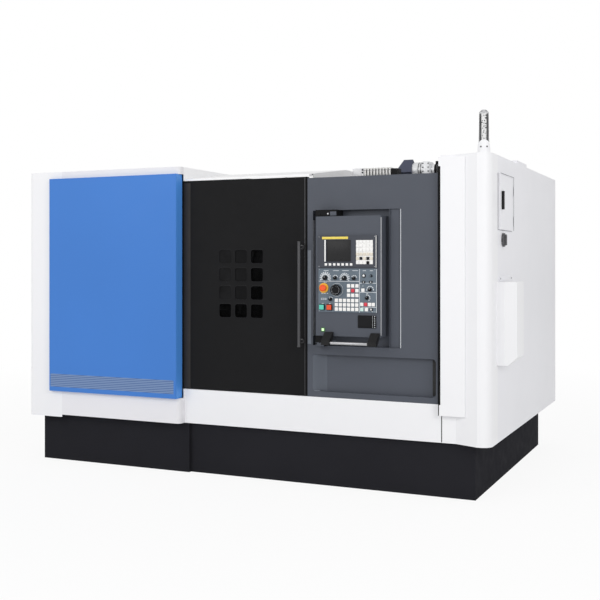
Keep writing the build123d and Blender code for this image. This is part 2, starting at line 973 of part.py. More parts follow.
# Swing latch of the cabinet door
with BuildPart() as cabinet_latch:
    latch_x = right_reach + cabinet_depth + slide_gap
    latch_sides = (latch_y - latch_width / 2, latch_y + latch_width / 2)
    block((latch_x, latch_x + latch_thickness), latch_sides, (latch_bottom, latch_top))
    fillet(edges().filter_by(Axis.X), latch_width / 4)
    stem = latch_x - skin_x + sheet
    rod((skin_x - sheet, latch_y, latch_z), latch_stem_radius, stem, turn_x)
save(cabinet_latch, "cabinet_latch")

# Round main switch on the side
with BuildPart() as main_switch:
    switch_x = right_reach + slide_gap
    rod((switch_x, switch_y, switch_z), switch_radius, switch_thickness, turn_x)
    grip_half = switch_radius - switch_grip_width / 2
    block(
        (switch_x + switch_thickness, switch_x + switch_thickness + switch_grip_height),
        (switch_y - switch_grip_width / 2, switch_y + switch_grip_width / 2),
        (switch_z - grip_half, switch_z + grip_half),
    )
    rod(
        (side_inner - sheet, switch_y, switch_z),
        switch_stem_radius,
        switch_x - side_inner + sheet,
        turn_x,
    )
save(main_switch, "main_switch")

# Heat exchanger box, bevelled towards the front and underneath
with BuildPart() as heat_exchanger:
    exchanger_outer = right_reach + exchanger_depth
    with BuildSketch(Plane.XY.offset(exchanger_bottom)):
        with BuildLine():
            Polyline(
                (right_reach, -exchanger_front),
                (exchanger_outer - exchanger_chamfer, -exchanger_front),
                (exchanger_outer, -exchanger_front + exchanger_chamfer),
                (exchanger_outer, -exchanger_rear),
                (right_reach, -exchanger_rear),
                close=True,
            )
        make_face()
    extrude(amount=exchanger_top - exchanger_bottom)
    chamfer(faces().sort_by(Axis.X)[-1].edges().sort_by(Axis.Z)[0], exchanger_underside)
save(heat_exchanger, "heat_exchanger")

# Signal beacon
with BuildPart() as beacon_lens:
    lens_z = cover_top + beacon_base_height
    cap_z = lens_z + beacon_lens_height
    with BuildSketch(Plane.XZ.offset(-beacon_y)):
        with BuildLine():
            Polyline(
                (beacon_x, lens_z),
                (beacon_x + beacon_radius, lens_z),
                (beacon_x + beacon_top_radius, cap_z),
                (beacon_x + beacon_top_radius / 2, cap_z + beacon_cap_height),
                (beacon_x, cap_z + beacon_cap_height),
                close=True,
            )
        make_face()
    revolve(axis=Axis((beacon_x, beacon_y, lens_z), (0, 0, 1)))
save(beacon_lens, "beacon_lens")

# Grey front cover: a tray with the control niche and the toe recess drawn into it
with BuildPart() as grey_front_cover:
    grey_back = door_front + grey_depth
    tray((grey_left, grey_right), (door_front, grey_back), (sill_top, grey_top))
    strip_back = door_front + trim_strip_depth
    block(
        (niche_left - sheet, niche_right + sheet),
        (door_front, niche_back + sheet),
        (niche_bottom - sheet, niche_top + sheet),
    )
    block(
        (niche_right, strip_right + sheet),
        (door_front, strip_back + sheet),
        (niche_bottom - sheet, niche_top + sheet),
    )
    block(
        (niche_left, niche_right),
        (door_front, niche_back),
        (niche_bottom, niche_top),
        Mode.SUBTRACT,
    )
    block(
        (niche_right + sheet, strip_right),
        (door_front, strip_back),
        (niche_bottom, niche_top),
        Mode.SUBTRACT,
    )
    recess_back = door_front + recess_depth
    block(
        (recess_left - sheet, recess_right + sheet),
        (door_front, recess_back + sheet),
        (recess_bottom - sheet, recess_top + sheet),
    )
    with BuildSketch(Plane.XZ.offset(front_reach)):
        with Locations(((recess_left + recess_right) / 2, (recess_bottom + recess_top) / 2)):
            RectangleRounded(
                recess_right - recess_left, recess_top - recess_bottom, recess_radius
            )
    extrude(amount=-recess_depth, mode=Mode.SUBTRACT)
save(grey_front_cover, "grey_front_cover")

# Sliding door: a folded sheet with a rounded left edge and a grid of square windows
with BuildPart() as sliding_door:
    block((door_left, door_right), (door_front, door_back), (door_bottom, door_top))
    fillet(
        edges().filter_by(Axis.Z).group_by(Axis.Y)[0].sort_by(Axis.X)[0], door_left_radius
    )
    with BuildSketch(Plane.XY.offset(door_bottom + sheet)):
        with Locations((door_left + sheet, door_front + sheet)):
            Rectangle(door_right - door_left - 2 * sheet, door_depth - sheet, align=corner)
        fillet(vertices().group_by(Axis.Y)[0].sort_by(Axis.X)[0], door_left_radius - sheet)
    extrude(amount=door_top - door_bottom - 2 * sheet, mode=Mode.SUBTRACT)
    with BuildSketch(Plane.XZ.offset(front_reach)):
        with Locations((window_x, window_z)):
            with GridLocations(window_pitch_x, window_pitch_z, window_columns, window_rows):
                RectangleRounded(window_hole, window_hole, window_hole_radius)
    extrude(amount=-sheet, mode=Mode.SUBTRACT)
save(sliding_door, "sliding_door")

# Window pane behind the grid
with BuildPart() as door_window:
    pane_half_x = (window_columns - 1) * window_pitch_x / 2 + window_hole / 2 + pane_margin
    pane_half_z = (window_rows - 1) * window_pitch_z / 2 + window_hole / 2 + pane_margin
    block(
        (window_x - pane_half_x, window_x + pane_half_x),
        (door_front + sheet, door_front + sheet + pane_thickness),
        (window_z - pane_half_z, window_z + pane_half_z),
    )
save(door_window, "door_window")

# Bar handle on two stand-offs
with BuildPart() as door_handle:
    handle_y = door_front - door_handle_reach
    rod(
        (door_handle_x, handle_y, door_handle_bottom),
        door_handle_radius,
        door_handle_top - door_handle_bottom,
    )
    for z in (door_handle_bottom + standoff_inset, door_handle_top - standoff_inset):
        rod((door_handle_x, handle_y, z), standoff_radius, door_handle_reach, turn_y)
save(door_handle, "door_handle")

# Two hangers with rollers that run on the rail
with BuildPart() as door_hangers:
    for hanger_x in (door_left + hanger_inset, door_right - hanger_inset):
        block(
            (hanger_x - hanger_width / 2, hanger_x + hanger_width / 2),
            (door_back, door_back + hanger_plate),
            (door_top - hanger_height, door_top),
        )
        rod(
            (hanger_x, door_back + hanger_plate, rail_top + slide_gap + roller_radius),
            roller_radius,
            roller_width,
            turn_y,
        )
save(door_hangers, "door_hangers")

# Headstock casting with its spindle bore
with BuildPart() as headstock:
    with BuildSketch(slant_plane(bed_left)):
        with Locations((-headstock_half, -bed_depth)):
            Rectangle(2 * headstock_half, bed_depth + headstock_front, align=corner)
        fillet(vertices().group_by(Axis.Y)[-1], headstock_radius)
        Circle(bearing_radius, mode=Mode.SUBTRACT)
    extrude(amount=headstock_right - bed_left)
save(headstock, "headstock")

# Two bearing rings in the headstock
with BuildPart() as spindle_bearings:
    for bearing_x in (bed_left, headstock_right - bearing_width):
        rod((bearing_x, spindle_y, spindle_z), bearing_radius, bearing_width, turn_x)
    bearing_span = headstock_right - bed_left
    bore = spindle_radius + fit_clearance
    rod((bed_left, spindle_y, spindle_z), bore, bearing_span, turn_x, Mode.SUBTRACT)
save(spindle_bearings, "spindle_bearings")

# Hollow spindle with its nose flange and its pulley
with BuildPart() as spindle:
    nose_left = headstock_right + nose_gap
    spindle_length = chuck_left - pulley_left
    rod((pulley_left, spindle_y, spindle_z), spindle_radius, spindle_length, turn_x)
    rod((nose_left, spindle_y, spindle_z), spindle_nose_radius, chuck_left - nose_left, turn_x)
    rod((pulley_left, spindle_y, spindle_z), spindle_pulley_radius, pulley_width, turn_x)
    rod((pulley_left, spindle_y, spindle_z), spindle_bore, spindle_length, turn_x, Mode.SUBTRACT)
save(spindle, "spindle")

# Chuck body with three radial jaw slots
jaw_angles = [90 + 360 / jaw_count * number for number in range(jaw_count)]
with BuildPart() as chuck:
    rod((chuck_left, spindle_y, spindle_z), chuck_radius, chuck_length, turn_x)
    rod((chuck_left, spindle_y, spindle_z), chuck_bore, chuck_length, turn_x, Mode.SUBTRACT)
    for angle in jaw_angles:
        with BuildSketch(radial_plane(chuck_right, (spindle_y, spindle_z), angle)):
            Rectangle(chuck_radius + overrun, jaw_width, align=(Align.MIN, Align.CENTER))
        extrude(amount=-jaw_slot_depth, mode=Mode.SUBTRACT)
save(chuck, "chuck")

# Stepped jaws
for number, angle in enumerate(jaw_angles, start=1):
    turned = radial_plane(chuck_right, (spindle_y, spindle_z), angle)
    jaw_side = jaw_width - 2 * jaw_side_gap
    with BuildPart() as jaw:
        with BuildSketch(turned.offset(-jaw_slot_depth)):
            with Locations((jaw_inner, 0)):
                Rectangle(jaw_outer - jaw_inner, jaw_side, align=(Align.MIN, Align.CENTER))
        extrude(amount=jaw_slot_depth)
        with BuildSketch(turned):
            with Locations((jaw_inner, 0)):
                Rectangle(jaw_step - jaw_inner, jaw_side, align=(Align.MIN, Align.CENTER))
        extrude(amount=jaw_reach)
    save(jaw, f"jaw_{number}")

# Spindle motor on its feet
with BuildPart() as spindle_motor:
    rod((motor_left, motor_y, motor_z), motor_radius, motor_length, turn_x)
    foot_left = motor_left + (motor_length - motor_foot_length) / 2
    block(
        (foot_left, foot_left + motor_foot_length),
        (motor_y - motor_foot_half, motor_y + motor_foot_half),
        (plinth_height, motor_z - motor_radius / 2),
    )
    shaft_bore = motor_shaft_radius + fit_clearance
    rod((motor_left, motor_y, motor_z), shaft_bore, motor_shaft_depth, turn_x, Mode.SUBTRACT)
save(spindle_motor, "spindle_motor")

# Motor shaft with its pulley
with BuildPart() as motor_pulley:
    rod((pulley_left, motor_y, motor_z), motor_pulley_radius, pulley_width, turn_x)
    shaft_length = motor_left + motor_shaft_depth - slide_gap - pulley_left
    rod((pulley_left, motor_y, motor_z), motor_shaft_radius, shaft_length, turn_x)
save(motor_pulley, "motor_pulley")

# Belt round both pulleys
with BuildPart() as drive_belt:
    belt_left = pulley_left + (pulley_width - belt_width) / 2
    for belt_offset, belt_mode in ((slide_gap + belt_thickness, Mode.ADD), (slide_gap, Mode.SUBTRACT)):
        with BuildSketch(Plane.YZ.offset(belt_left)):
            with Locations((spindle_y, spindle_z)):
                Circle(spindle_pulley_radius + belt_offset)
            with Locations((motor_y, motor_z)):
                Circle(motor_pulley_radius + belt_offset)
            make_hull()
        extrude(amount=belt_width, mode=belt_mode)
save(drive_belt, "drive_belt")

# Wall between the headstock and the work area
with BuildPart() as chamber_wall:
    wall_foot = slant_yz(0, wall_rear_n)
    wall_low_z = bed_foot[1]
    wall_low_y = wall_foot[0] + (wall_low_z - wall_foot[1]) * along[1] / along[2]
    wall_high = slant_yz(bed_high, wall_rear_n)
    with BuildSketch(Plane.YZ.offset(wall_x - sheet)):
        with BuildLine():
            Polyline(
                (-beam_front + beam_depth, plinth_height),
                (wall_low_y, plinth_height),
                (wall_low_y, wall_low_z),
                wall_high,
                (wall_high[0], cover_top - sheet),
                (-beam_front + beam_depth, cover_top - sheet),
                close=True,
            )
        make_face()
        with Locations((spindle_y, spindle_z)):
            Circle(wall_hole, mode=Mode.SUBTRACT)
    extrude(amount=sheet)
save(chamber_wall, "chamber_wall")

# Folded chip trough on the plinth
with BuildPart() as chip_trough:
    trough_rear = bed_foot[0] - overrun
    trough_top = sill_top - sheet
    with BuildSketch(Plane.YZ.offset(wall_x)):
        with BuildLine():
            Polyline(
                (-trough_front, trough_top),
                (-trough_front + trough_sheet, trough_top),
                (-trough_foot + trough_sheet, plinth_height + trough_sheet),
                (trough_rear, plinth_height + trough_sheet),
                (trough_rear, plinth_height),
                (-trough_foot, plinth_height),
                close=True,
            )
        make_face()
    extrude(amount=column_left - wall_x)
save(chip_trough, "chip_trough")

# Carriage saddle on the upper guideways
with BuildPart() as saddle:
    slant_block(
        (saddle_left, saddle_right), (saddle_low, saddle_high), (saddle_bottom, saddle_top)
    )
save(saddle, "saddle")

# Housing of the cross drive, across the saddle's upper end and up through the roof slot
drive_corner = (drive_left, *slant_yz(saddle_high, drive_front))
with BuildPart() as x_drive_housing:
    with BuildSketch(Plane(origin=drive_corner, x_dir=(1, 0, 0), z_dir=off_bed)):
        with BuildLine():
            Polyline(
                (0, 0),
                (drive_width, 0),
                (drive_width, drive_height),
                (drive_lean, drive_height),
                close=True,
            )
        make_face()
    extrude(amount=saddle_bottom - drive_front)
save(x_drive_housing, "x_drive_housing")

# Cross drive motor with its encoder cap
with BuildPart() as x_axis_motor:
    drive_axis = slant_yz(saddle_high + drive_height / 2, drive_motor_n)
    body_length = drive_motor_length - encoder_length
    rod((drive_right, *drive_axis), drive_motor_radius, body_length, turn_x)
    rod((drive_right + body_length, *drive_axis), encoder_radius, encoder_length, turn_x)
save(x_axis_motor, "x_axis_motor")

# Cross slide on the saddle
with BuildPart() as cross_slide:
    slant_block(
        (turret_left, turret_right),
        (turret_s - cross_length / 2, turret_s + cross_length / 2),
        (cross_bottom, cross_top),
    )
save(cross_slide, "cross_slide")

# Turret housing with the spigot that carries the disc
with BuildPart() as turret_body:
    with BuildSketch(slant_plane(turret_left)):
        with Locations((turret_s - turret_half, cross_top)):
            Rectangle(2 * turret_half, turret_front - cross_top, align=corner)
        fillet(vertices().group_by(Axis.Y)[-1], turret_edge_radius)
    extrude(amount=turret_right - turret_left)
    disc_right = disc_left + disc_width
    spigot_left = disc_left + disc_width / 2
    turret_axis = slant_yz(turret_s, 0)
    rod((spigot_left, *turret_axis), spigot_radius, turret_left - spigot_left, turn_x)
save(turret_body, "turret_body")

# Twelve-sided tool disc with a holder on each flat, every second one with a boring bar
disc_apothem = disc_radius * math.cos(math.pi / disc_stations)
with BuildPart() as turret_disc:
    with BuildSketch(slant_plane(disc_left, turret_s)):
        RegularPolygon(disc_radius, disc_stations)
    extrude(amount=disc_width)
    with BuildSketch(slant_plane(spigot_left, turret_s)):
        Circle(spigot_radius + fit_clearance)
    extrude(amount=disc_right - spigot_left, mode=Mode.SUBTRACT)
    holder_x = disc_left + (disc_width - holder_length) / 2
    for station in range(disc_stations):
        station_angle = slant + 360 / disc_stations * (station + 0.5)
        with BuildSketch(radial_plane(holder_x, turret_axis, station_angle)):
            with Locations((disc_apothem, 0)):
                Rectangle(holder_height, holder_width, align=(Align.MIN, Align.CENTER))
        extrude(amount=holder_length)
        if station % 2:
            with BuildSketch(radial_plane(holder_x, turret_axis, station_angle)):
                with Locations((disc_apothem + holder_height / 2, 0)):
                    RegularPolygon(bar_radius, bar_sides)
            extrude(amount=-bar_length)
save(turret_disc, "turret_disc")

# Telescopic way covers: the first fixed at the headstock, the last on the saddle
cover_reach = saddle_left - chuck_left - way_cover_length
for number in range(way_cover_count):
    cover_left = chuck_left + cover_reach * number / (way_cover_count - 1)
    cover_right = cover_left + way_cover_length
    if number == 0:
        cover_left = headstock_right
    cover_n = way_top + way_cover_lip + way_cover_step * number
    with BuildPart() as way_cover:
        slant_block(
            (cover_left, cover_right),
            (saddle_low, way_cover_high),
            (cover_n, cover_n + way_cover_sheet),
        )
    save(way_cover, f"way_cover_{number + 1}")

# Tailstock on the lower guideways
with BuildPart() as tailstock:
    with BuildSketch(slant_plane(tail_left)):
        with BuildLine():
            Polyline(
                (tail_low, saddle_bottom),
                (tail_low, saddle_top),
                (-tail_housing_radius, -tail_housing_radius),
                (-tail_housing_radius, 0),
                (tail_housing_radius, 0),
                (tail_high, -tail_housing_radius),
                (tail_high, saddle_bottom),
                close=True,
            )
        make_face()
        Circle(tail_housing_radius)
        Circle(quill_radius + fit_clearance, mode=Mode.SUBTRACT)
    extrude(amount=tail_length)
save(tailstock, "tailstock")

# Quill with its live centre
with BuildPart() as quill:
    cone_end = quill_tip_x + quill_cone_length
    with BuildSketch(Plane.XY.offset(spindle_z)):
        with BuildLine():
            Polyline(
                (quill_tip_x, spindle_y),
                (quill_tip_x + quill_cone_length, spindle_y + quill_nose_radius),
                (cone_end, spindle_y + quill_radius),
                (cone_end + quill_length, spindle_y + quill_radius),
                (cone_end + quill_length, spindle_y),
                close=True,
            )
        make_face()
    revolve(axis=Axis((quill_tip_x, spindle_y, spindle_z), (1, 0, 0)))
save(quill, "quill")

# Cable tray, terminal box and cable carrier above the grey cover
with BuildPart() as cable_tray:
    block((roof_right, cabinet_wall_x), (-tray_front, -tray_rear), (tray_top - tray_height, tray_top))
    block(
        (roof_right, cabinet_wall_x),
        (-tray_front + sheet, -tray_rear - sheet),
        (tray_top - tray_height, tray_top - sheet),
        Mode.SUBTRACT,
    )
    block(
        (terminal_left, terminal_right),
        (-tray_front, -tray_rear),
        (tray_top, tray_top + terminal_height),
    )
save(cable_tray, "cable_tray")

with BuildPart() as cable_carrier:
    link_pitch = (link_run - link_end) / link_count
    carrier_sides = (-tray_front + link_core_drop, -tray_rear - link_core_drop)
    block(
        (terminal_right, link_right),
        carrier_sides,
        (tray_top, tray_top + link_height - link_core_drop),
    )
    for link in range(link_count):
        link_left = terminal_right + link_pitch * (link + (1 - link_fill_share) / 2)
        block(
            (link_left, link_left + link_fill_share * link_pitch),
            (-tray_front, -tray_rear),
            (tray_top, tray_top + link_height),
        )
save(cable_carrier, "cable_carrier")

# Pivot brackets of the control box, each with its pin
with BuildPart() as panel_pivots:
    bracket_sides = (-bracket_front, niche_back)
    upper_z = box_top + bracket_gap
    lower_z = box_bottom - bracket_gap
    block((box_left, box_left + bracket_length), bracket_sides, (upper_z, niche_top))
    block((box_left, box_left + bracket_foot), bracket_sides, (niche_bottom, lower_z))
    pin_length = pivot_reach + bracket_gap
    rod((pivot_x, pivot_y, upper_z - pin_length), pivot_radius, pin_length)
    rod((pivot_x, pivot_y, lower_z), pivot_radius, pin_length)
save(panel_pivots, "panel_pivots")

# Hollow control box, bored for its pivots and cut out behind the operator panel
control_places = [on_plate(share) for share in (stop_share, wheel_share, feed_share, speed_share)]
push_places = [on_plate(share) for share in (start_share, hold_share)]
stem_hole = stem_radius + fit_clearance
with BuildPart() as control_box:
    block((box_left, box_right), (-box_front, -box_rear), (box_bottom, box_top))
    fillet(edges().filter_by(Axis.Z).group_by(Axis.Y)[0], box_radius)
    block(
        (box_left + sheet, box_right - sheet),
        (-box_front + sheet, -box_rear - sheet),
        (box_bottom + sheet, box_top - sheet),
        Mode.SUBTRACT,
    )
    pivot_bore = pivot_radius + fit_clearance
    for wall_z in (box_bottom, box_top - sheet):
        rod((pivot_x, pivot_y, wall_z), pivot_bore, sheet, mode=Mode.SUBTRACT)
    block(
        (plate_left + cutout_margin, plate_right - cutout_margin),
        (-box_front, -box_front + sheet),
        (plate_bottom + cutout_margin, plate_top - cutout_margin),
        Mode.SUBTRACT,
    )
    rod((lamp_x, -box_front - lamp_height, lamp_z), lamp_radius, lamp_height, turn_y)
save(control_box, "control_box")

# Display unit with a sunk screen, soft keys and a keypad
with BuildPart() as display_unit:
    display_front = -box_front - display_proud
    block((display_left, display_right), (display_front, -box_front), (display_bottom, display_top))
    block(
        (screen_left, screen_right),
        (display_front, display_front + screen_recess),
        (screen_bottom, screen_top),
        Mode.SUBTRACT,
    )
    soft_key_x = (screen_left + screen_right) / 2
    with BuildSketch(Plane.XZ.offset(-display_front)):
        with Locations((soft_key_x, soft_key_z)):
            with GridLocations(soft_key_pitch, soft_key_pitch, soft_key_count, 1):
                Rectangle(soft_key_width, soft_key_height)
        with Locations((keypad_x, keypad_z)):
            with GridLocations(keypad_pitch_x, keypad_pitch_z, keypad_columns, keypad_rows):
                Rectangle(keypad_key, keypad_key)
    extrude(amount=key_proud)
save(display_unit, "display_unit")

# Operator panel with its keys, selectors and lamps
with BuildPart() as operator_panel:
    block((plate_left, plate_right), (plate_front, -box_front), (plate_bottom, plate_top))
    with BuildSketch(Plane.XZ.offset(-plate_front)):
        with Locations(on_plate(small_grid_share)):
            with GridLocations(
                small_grid_pitch_x, small_grid_pitch_z, small_grid_count, small_grid_count
            ):
                Rectangle(key_size, key_size)
        with Locations(on_plate(large_grid_share)):
            with GridLocations(
                large_grid_pitch, large_grid_pitch, large_grid_columns, large_grid_rows
            ):
                Rectangle(key_size, key_size)
        with Locations(*[on_plate(share) for share in button_shares]):
            Rectangle(key_size, key_size)
        with Locations(*[on_plate(share) for share in rocker_shares]):
            Rectangle(key_size, rocker_height)
    extrude(amount=key_proud)
    for shares, radius, height in (
        (knob_shares, knob_radius, knob_height),
        (lamp_shares, lamp_radius, lamp_height),
        (toggle_shares, toggle_radius, toggle_height),
    ):
        with BuildSketch(Plane.XZ.offset(-plate_front)):
            with Locations(*[on_plate(share) for share in shares]):
                RegularPolygon(radius, knob_sides)
        extrude(amount=height)
    x, z = on_plate(stop_share)
    rod((x, plate_front - stop_ring_height, z), stop_ring_radius, stop_ring_height, turn_y)
    for x, z in control_places + push_places:
        ring_front = plate_front - stop_ring_height
        hole_depth = plate_proud + stop_ring_height
        rod((x, ring_front, z), stem_hole, hole_depth, turn_y, Mode.SUBTRACT)
save(operator_panel, "operator_panel")

stem_end = -box_front + sheet + stem_depth

# Emergency stop mushroom
with BuildPart() as estop_button:
    x, z = control_places[0]
    cap_back = plate_front - stop_neck_height
    rod((x, cap_back - stop_cap_height, z), stop_cap_radius, stop_cap_height, turn_y)
    chamfer(edges().filter_by(GeomType.CIRCLE).sort_by(Axis.Y)[0], stop_cap_height / 3)
    rod((x, cap_back, z), stem_radius, stem_end - cap_back, turn_y)
save(estop_button, "estop_button")

# Pulse handwheel with its crank knob
with BuildPart() as handwheel:
    x, z = control_places[1]
    wheel_back = plate_front - wheel_standoff
    wheel_front = wheel_back - wheel_thickness
    rod((x, wheel_front, z), wheel_radius, wheel_thickness, turn_y)
    rod((x, wheel_back, z), wheel_hub_radius, wheel_standoff - slide_gap, turn_y)
    rod((x, wheel_back, z), stem_radius, stem_end - wheel_back, turn_y)
    crank_z = z + crank_share * wheel_radius
    rod((x, wheel_front - crank_height, crank_z), crank_radius, crank_height, turn_y)
save(handwheel, "handwheel")

# Feed and speed override knobs with their pointers
for name, (x, z) in (("feed_knob", control_places[2]), ("speed_knob", control_places[3])):
    with BuildPart() as knob:
        knob_back = plate_front - slide_gap
        knob_front = knob_back - override_height
        rod((x, knob_front, z), override_radius, override_height, turn_y)
        block(
            (x - pointer_width / 2, x + pointer_width / 2),
            (knob_front - pointer_width / 2, knob_front),
            (z - override_radius / 2, z + override_radius),
        )
        rod((x, knob_back, z), stem_radius, stem_end - knob_back, turn_y)
    save(knob, name)

# Start and hold push buttons
for name, (x, z) in (("start_button", push_places[0]), ("hold_button", push_places[1])):
    with BuildPart() as push:
        push_back = plate_front - push_gap
        block(
            (x - push_size / 2, x + push_size / 2),
            (push_back - push_height, push_back),
            (z - push_size / 2, z + push_size / 2),
        )
        rod((x, push_back, z), stem_radius, stem_end - push_back, turn_y)
    save(push, name)

# Hinged cover of the data port
with BuildPart() as port_cover:
    block(
        (port_left, port_right),
        (-box_front - port_thickness, -box_front),
        (port_bottom, port_top),
    )
    fillet(edges().filter_by(Axis.Y), port_thickness)
save(port_cover, "port_cover")

# Pull handle under the box: two arms that lean forward and a round bar
with BuildPart() as panel_handle:
    grip_y = -box_front - grip_proud + grip_thickness / 2
    grip_low = grip_z - grip_thickness / 2
    for arm_left in (grip_left, grip_right - grip_width):
        with BuildSketch(Plane.YZ.offset(arm_left)):
            with BuildLine():
                Polyline(
                    (-box_front, box_bottom + grip_thickness),
                    (-box_front - grip_shoulder, box_bottom + grip_thickness),
                    (-box_front - grip_proud, grip_low + grip_thickness),
                    (-box_front - grip_proud, grip_low),
                    (-box_front - grip_proud + grip_thickness, grip_low),
                    (-box_front, box_bottom),
                    close=True,
                )
            make_face()
        extrude(amount=grip_width)
    rod(
        (grip_left + grip_width, grip_y, grip_z),
        grip_radius,
        grip_right - grip_left - 2 * grip_width,
        turn_x,
    )
save(panel_handle, "panel_handle")
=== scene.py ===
import math

import bmesh
import bpy
from mathutils import Matrix, Vector


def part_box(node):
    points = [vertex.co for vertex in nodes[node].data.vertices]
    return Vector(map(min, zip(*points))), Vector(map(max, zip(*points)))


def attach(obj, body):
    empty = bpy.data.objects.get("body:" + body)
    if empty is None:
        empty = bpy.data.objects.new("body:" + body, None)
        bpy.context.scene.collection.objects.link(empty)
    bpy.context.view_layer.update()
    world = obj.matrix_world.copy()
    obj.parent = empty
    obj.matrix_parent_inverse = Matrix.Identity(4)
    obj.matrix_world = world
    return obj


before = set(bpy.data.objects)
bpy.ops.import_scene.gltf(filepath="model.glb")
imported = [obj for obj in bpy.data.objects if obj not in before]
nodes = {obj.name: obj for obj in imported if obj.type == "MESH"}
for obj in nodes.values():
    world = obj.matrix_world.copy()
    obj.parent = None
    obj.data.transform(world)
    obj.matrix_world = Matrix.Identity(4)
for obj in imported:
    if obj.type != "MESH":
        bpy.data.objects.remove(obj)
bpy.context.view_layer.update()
scene = bpy.context.scene
scene.view_settings.view_transform = "Standard"


# Colours are written as the eye sees them, from 0 to 255, and turned into light by the sRGB curve
def shade(red, green, blue):
    values = []
    for level in (red, green, blue):
        part = level / 255
        values.append(part / 12.92 if part <= 0.04045 else ((part + 0.055) / 1.055) ** 2.4)
    return (*values, 1.0)


def scaled(colour, factor):
    return (*[min(1.0, level * factor) for level in colour[:3]], 1.0)


# Material parts
def new_material(name):
    material = bpy.data.materials.new(name)
    material.use_nodes = True
    tree = material.node_tree
    return material, tree, tree.nodes["Principled BSDF"]


def feed(made, key, value):
    """Gives an input of a node a fixed value, or links a socket to it."""
    if isinstance(value, bpy.types.NodeSocket):
        made.id_data.links.new(value, made.inputs[key])
    else:
        made.inputs[key].default_value = value


def node(tree, kind, **inputs):
    made = tree.nodes.new(kind)
    for key, value in inputs.items():
        feed(made, key.replace("_", " "), value)
    return made


def place(tree):
    return tree.nodes.new("ShaderNodeTexCoord").outputs["Object"]


def noise(tree, where, scale, detail=3.0):
    return node(tree, "ShaderNodeTexNoise", Vector=where, Scale=scale, Detail=detail).outputs["Fac"]


def ramp(tree, value, low, high):
    made = node(tree, "ShaderNodeValToRGB", Fac=value)
    for stop, position, colour in zip(made.color_ramp.elements, (0.3, 0.7), (low, high)):
        stop.position = position
        stop.color = colour
    return made.outputs["Color"]


def spread(tree, value, low, high, start=0.3, end=0.7):
    limits = {"From_Min": start, "From_Max": end, "To_Min": low, "To_Max": high}
    return node(tree, "ShaderNodeMapRange", Value=value, **limits).outputs["Result"]


def maths(tree, operation, first, second=0.0):
    made = tree.nodes.new("ShaderNodeMath")
    made.operation = operation
    feed(made, 0, first)
    feed(made, 1, second)
    return made.outputs["Value"]


def within(tree, value, low, high):
    """One where a value lies between two limits."""
    made = maths(tree, "COMPARE", value, (low + high) / 2)
    made.node.inputs[2].default_value = (high - low) / 2
    return made


def add_bump(tree, shader, height, strength, distance):
    made = node(tree, "ShaderNodeBump", Height=height, Strength=strength, Distance=distance)
    feed(shader, "Normal", made.outputs["Normal"])


# Whole materials
def coat(name, levels, rough, vary, patch, strength=0.12, metal=0.0, gloss=0.5):
    """A paint, plastic or metal whose tone, gloss and fine grain vary over the surface."""
    wear_ratio = 7
    wear = 0.12
    grain = 420.0
    grain_height = 0.0004
    colour = shade(*levels)
    material, tree, shader = new_material(name)
    where = place(tree)
    broad = noise(tree, where, patch, detail=4.0)
    worn = noise(tree, where, patch * wear_ratio)
    feed(shader, "Base Color", ramp(tree, broad, scaled(colour, 1 - vary), scaled(colour, 1 + vary)))
    feed(shader, "Roughness", spread(tree, worn, rough * (1 - wear), rough * (1 + wear)))
    feed(shader, "Metallic", metal)
    feed(shader, "Specular IOR Level", gloss)
    add_bump(tree, shader, noise(tree, where, grain, detail=2.0), strength, grain_height)
    return material


def brushed(name, levels, rough, direction):
    """Machined metal with fine lines along one direction."""
    colour = shade(*levels)
    material, tree, shader = new_material(name)
    stretch = node(tree, "ShaderNodeMapping", Vector=place(tree), Scale=direction)
    lines = noise(tree, stretch.outputs["Vector"], scale=60.0)
    feed(shader, "Base Color", ramp(tree, lines, scaled(colour, 0.86), scaled(colour, 1.1)))
    feed(shader, "Roughness", spread(tree, lines, rough * 0.8, rough * 1.25))
    feed(shader, "Metallic", 1.0)
    add_bump(tree, shader, lines, strength=0.08, distance=0.0003)
    return material


def clear(name, levels, rough, passing, bend):
    """A see-through plastic with faint scratches."""
    colour = shade(*levels)
    material, tree, shader = new_material(name)
    streaks = noise(tree, place(tree), scale=35.0, detail=5.0)
    feed(shader, "Base Color", ramp(tree, streaks, scaled(colour, 0.9), scaled(colour, 1.08)))
    feed(shader, "Roughness", spread(tree, streaks, rough * 0.7, rough * 1.3))
    feed(shader, "Transmission Weight", passing)
    feed(shader, "IOR", bend)
    return material


def glow(name, levels, strength):
    """A lit lamp cap."""
    material = coat(name, levels, 0.3, 0.05, 60.0)
    shader = material.node_tree.nodes["Principled BSDF"]
    feed(shader, "Emission Color", shade(*levels))
    feed(shader, "Emission Strength", strength)
    return material


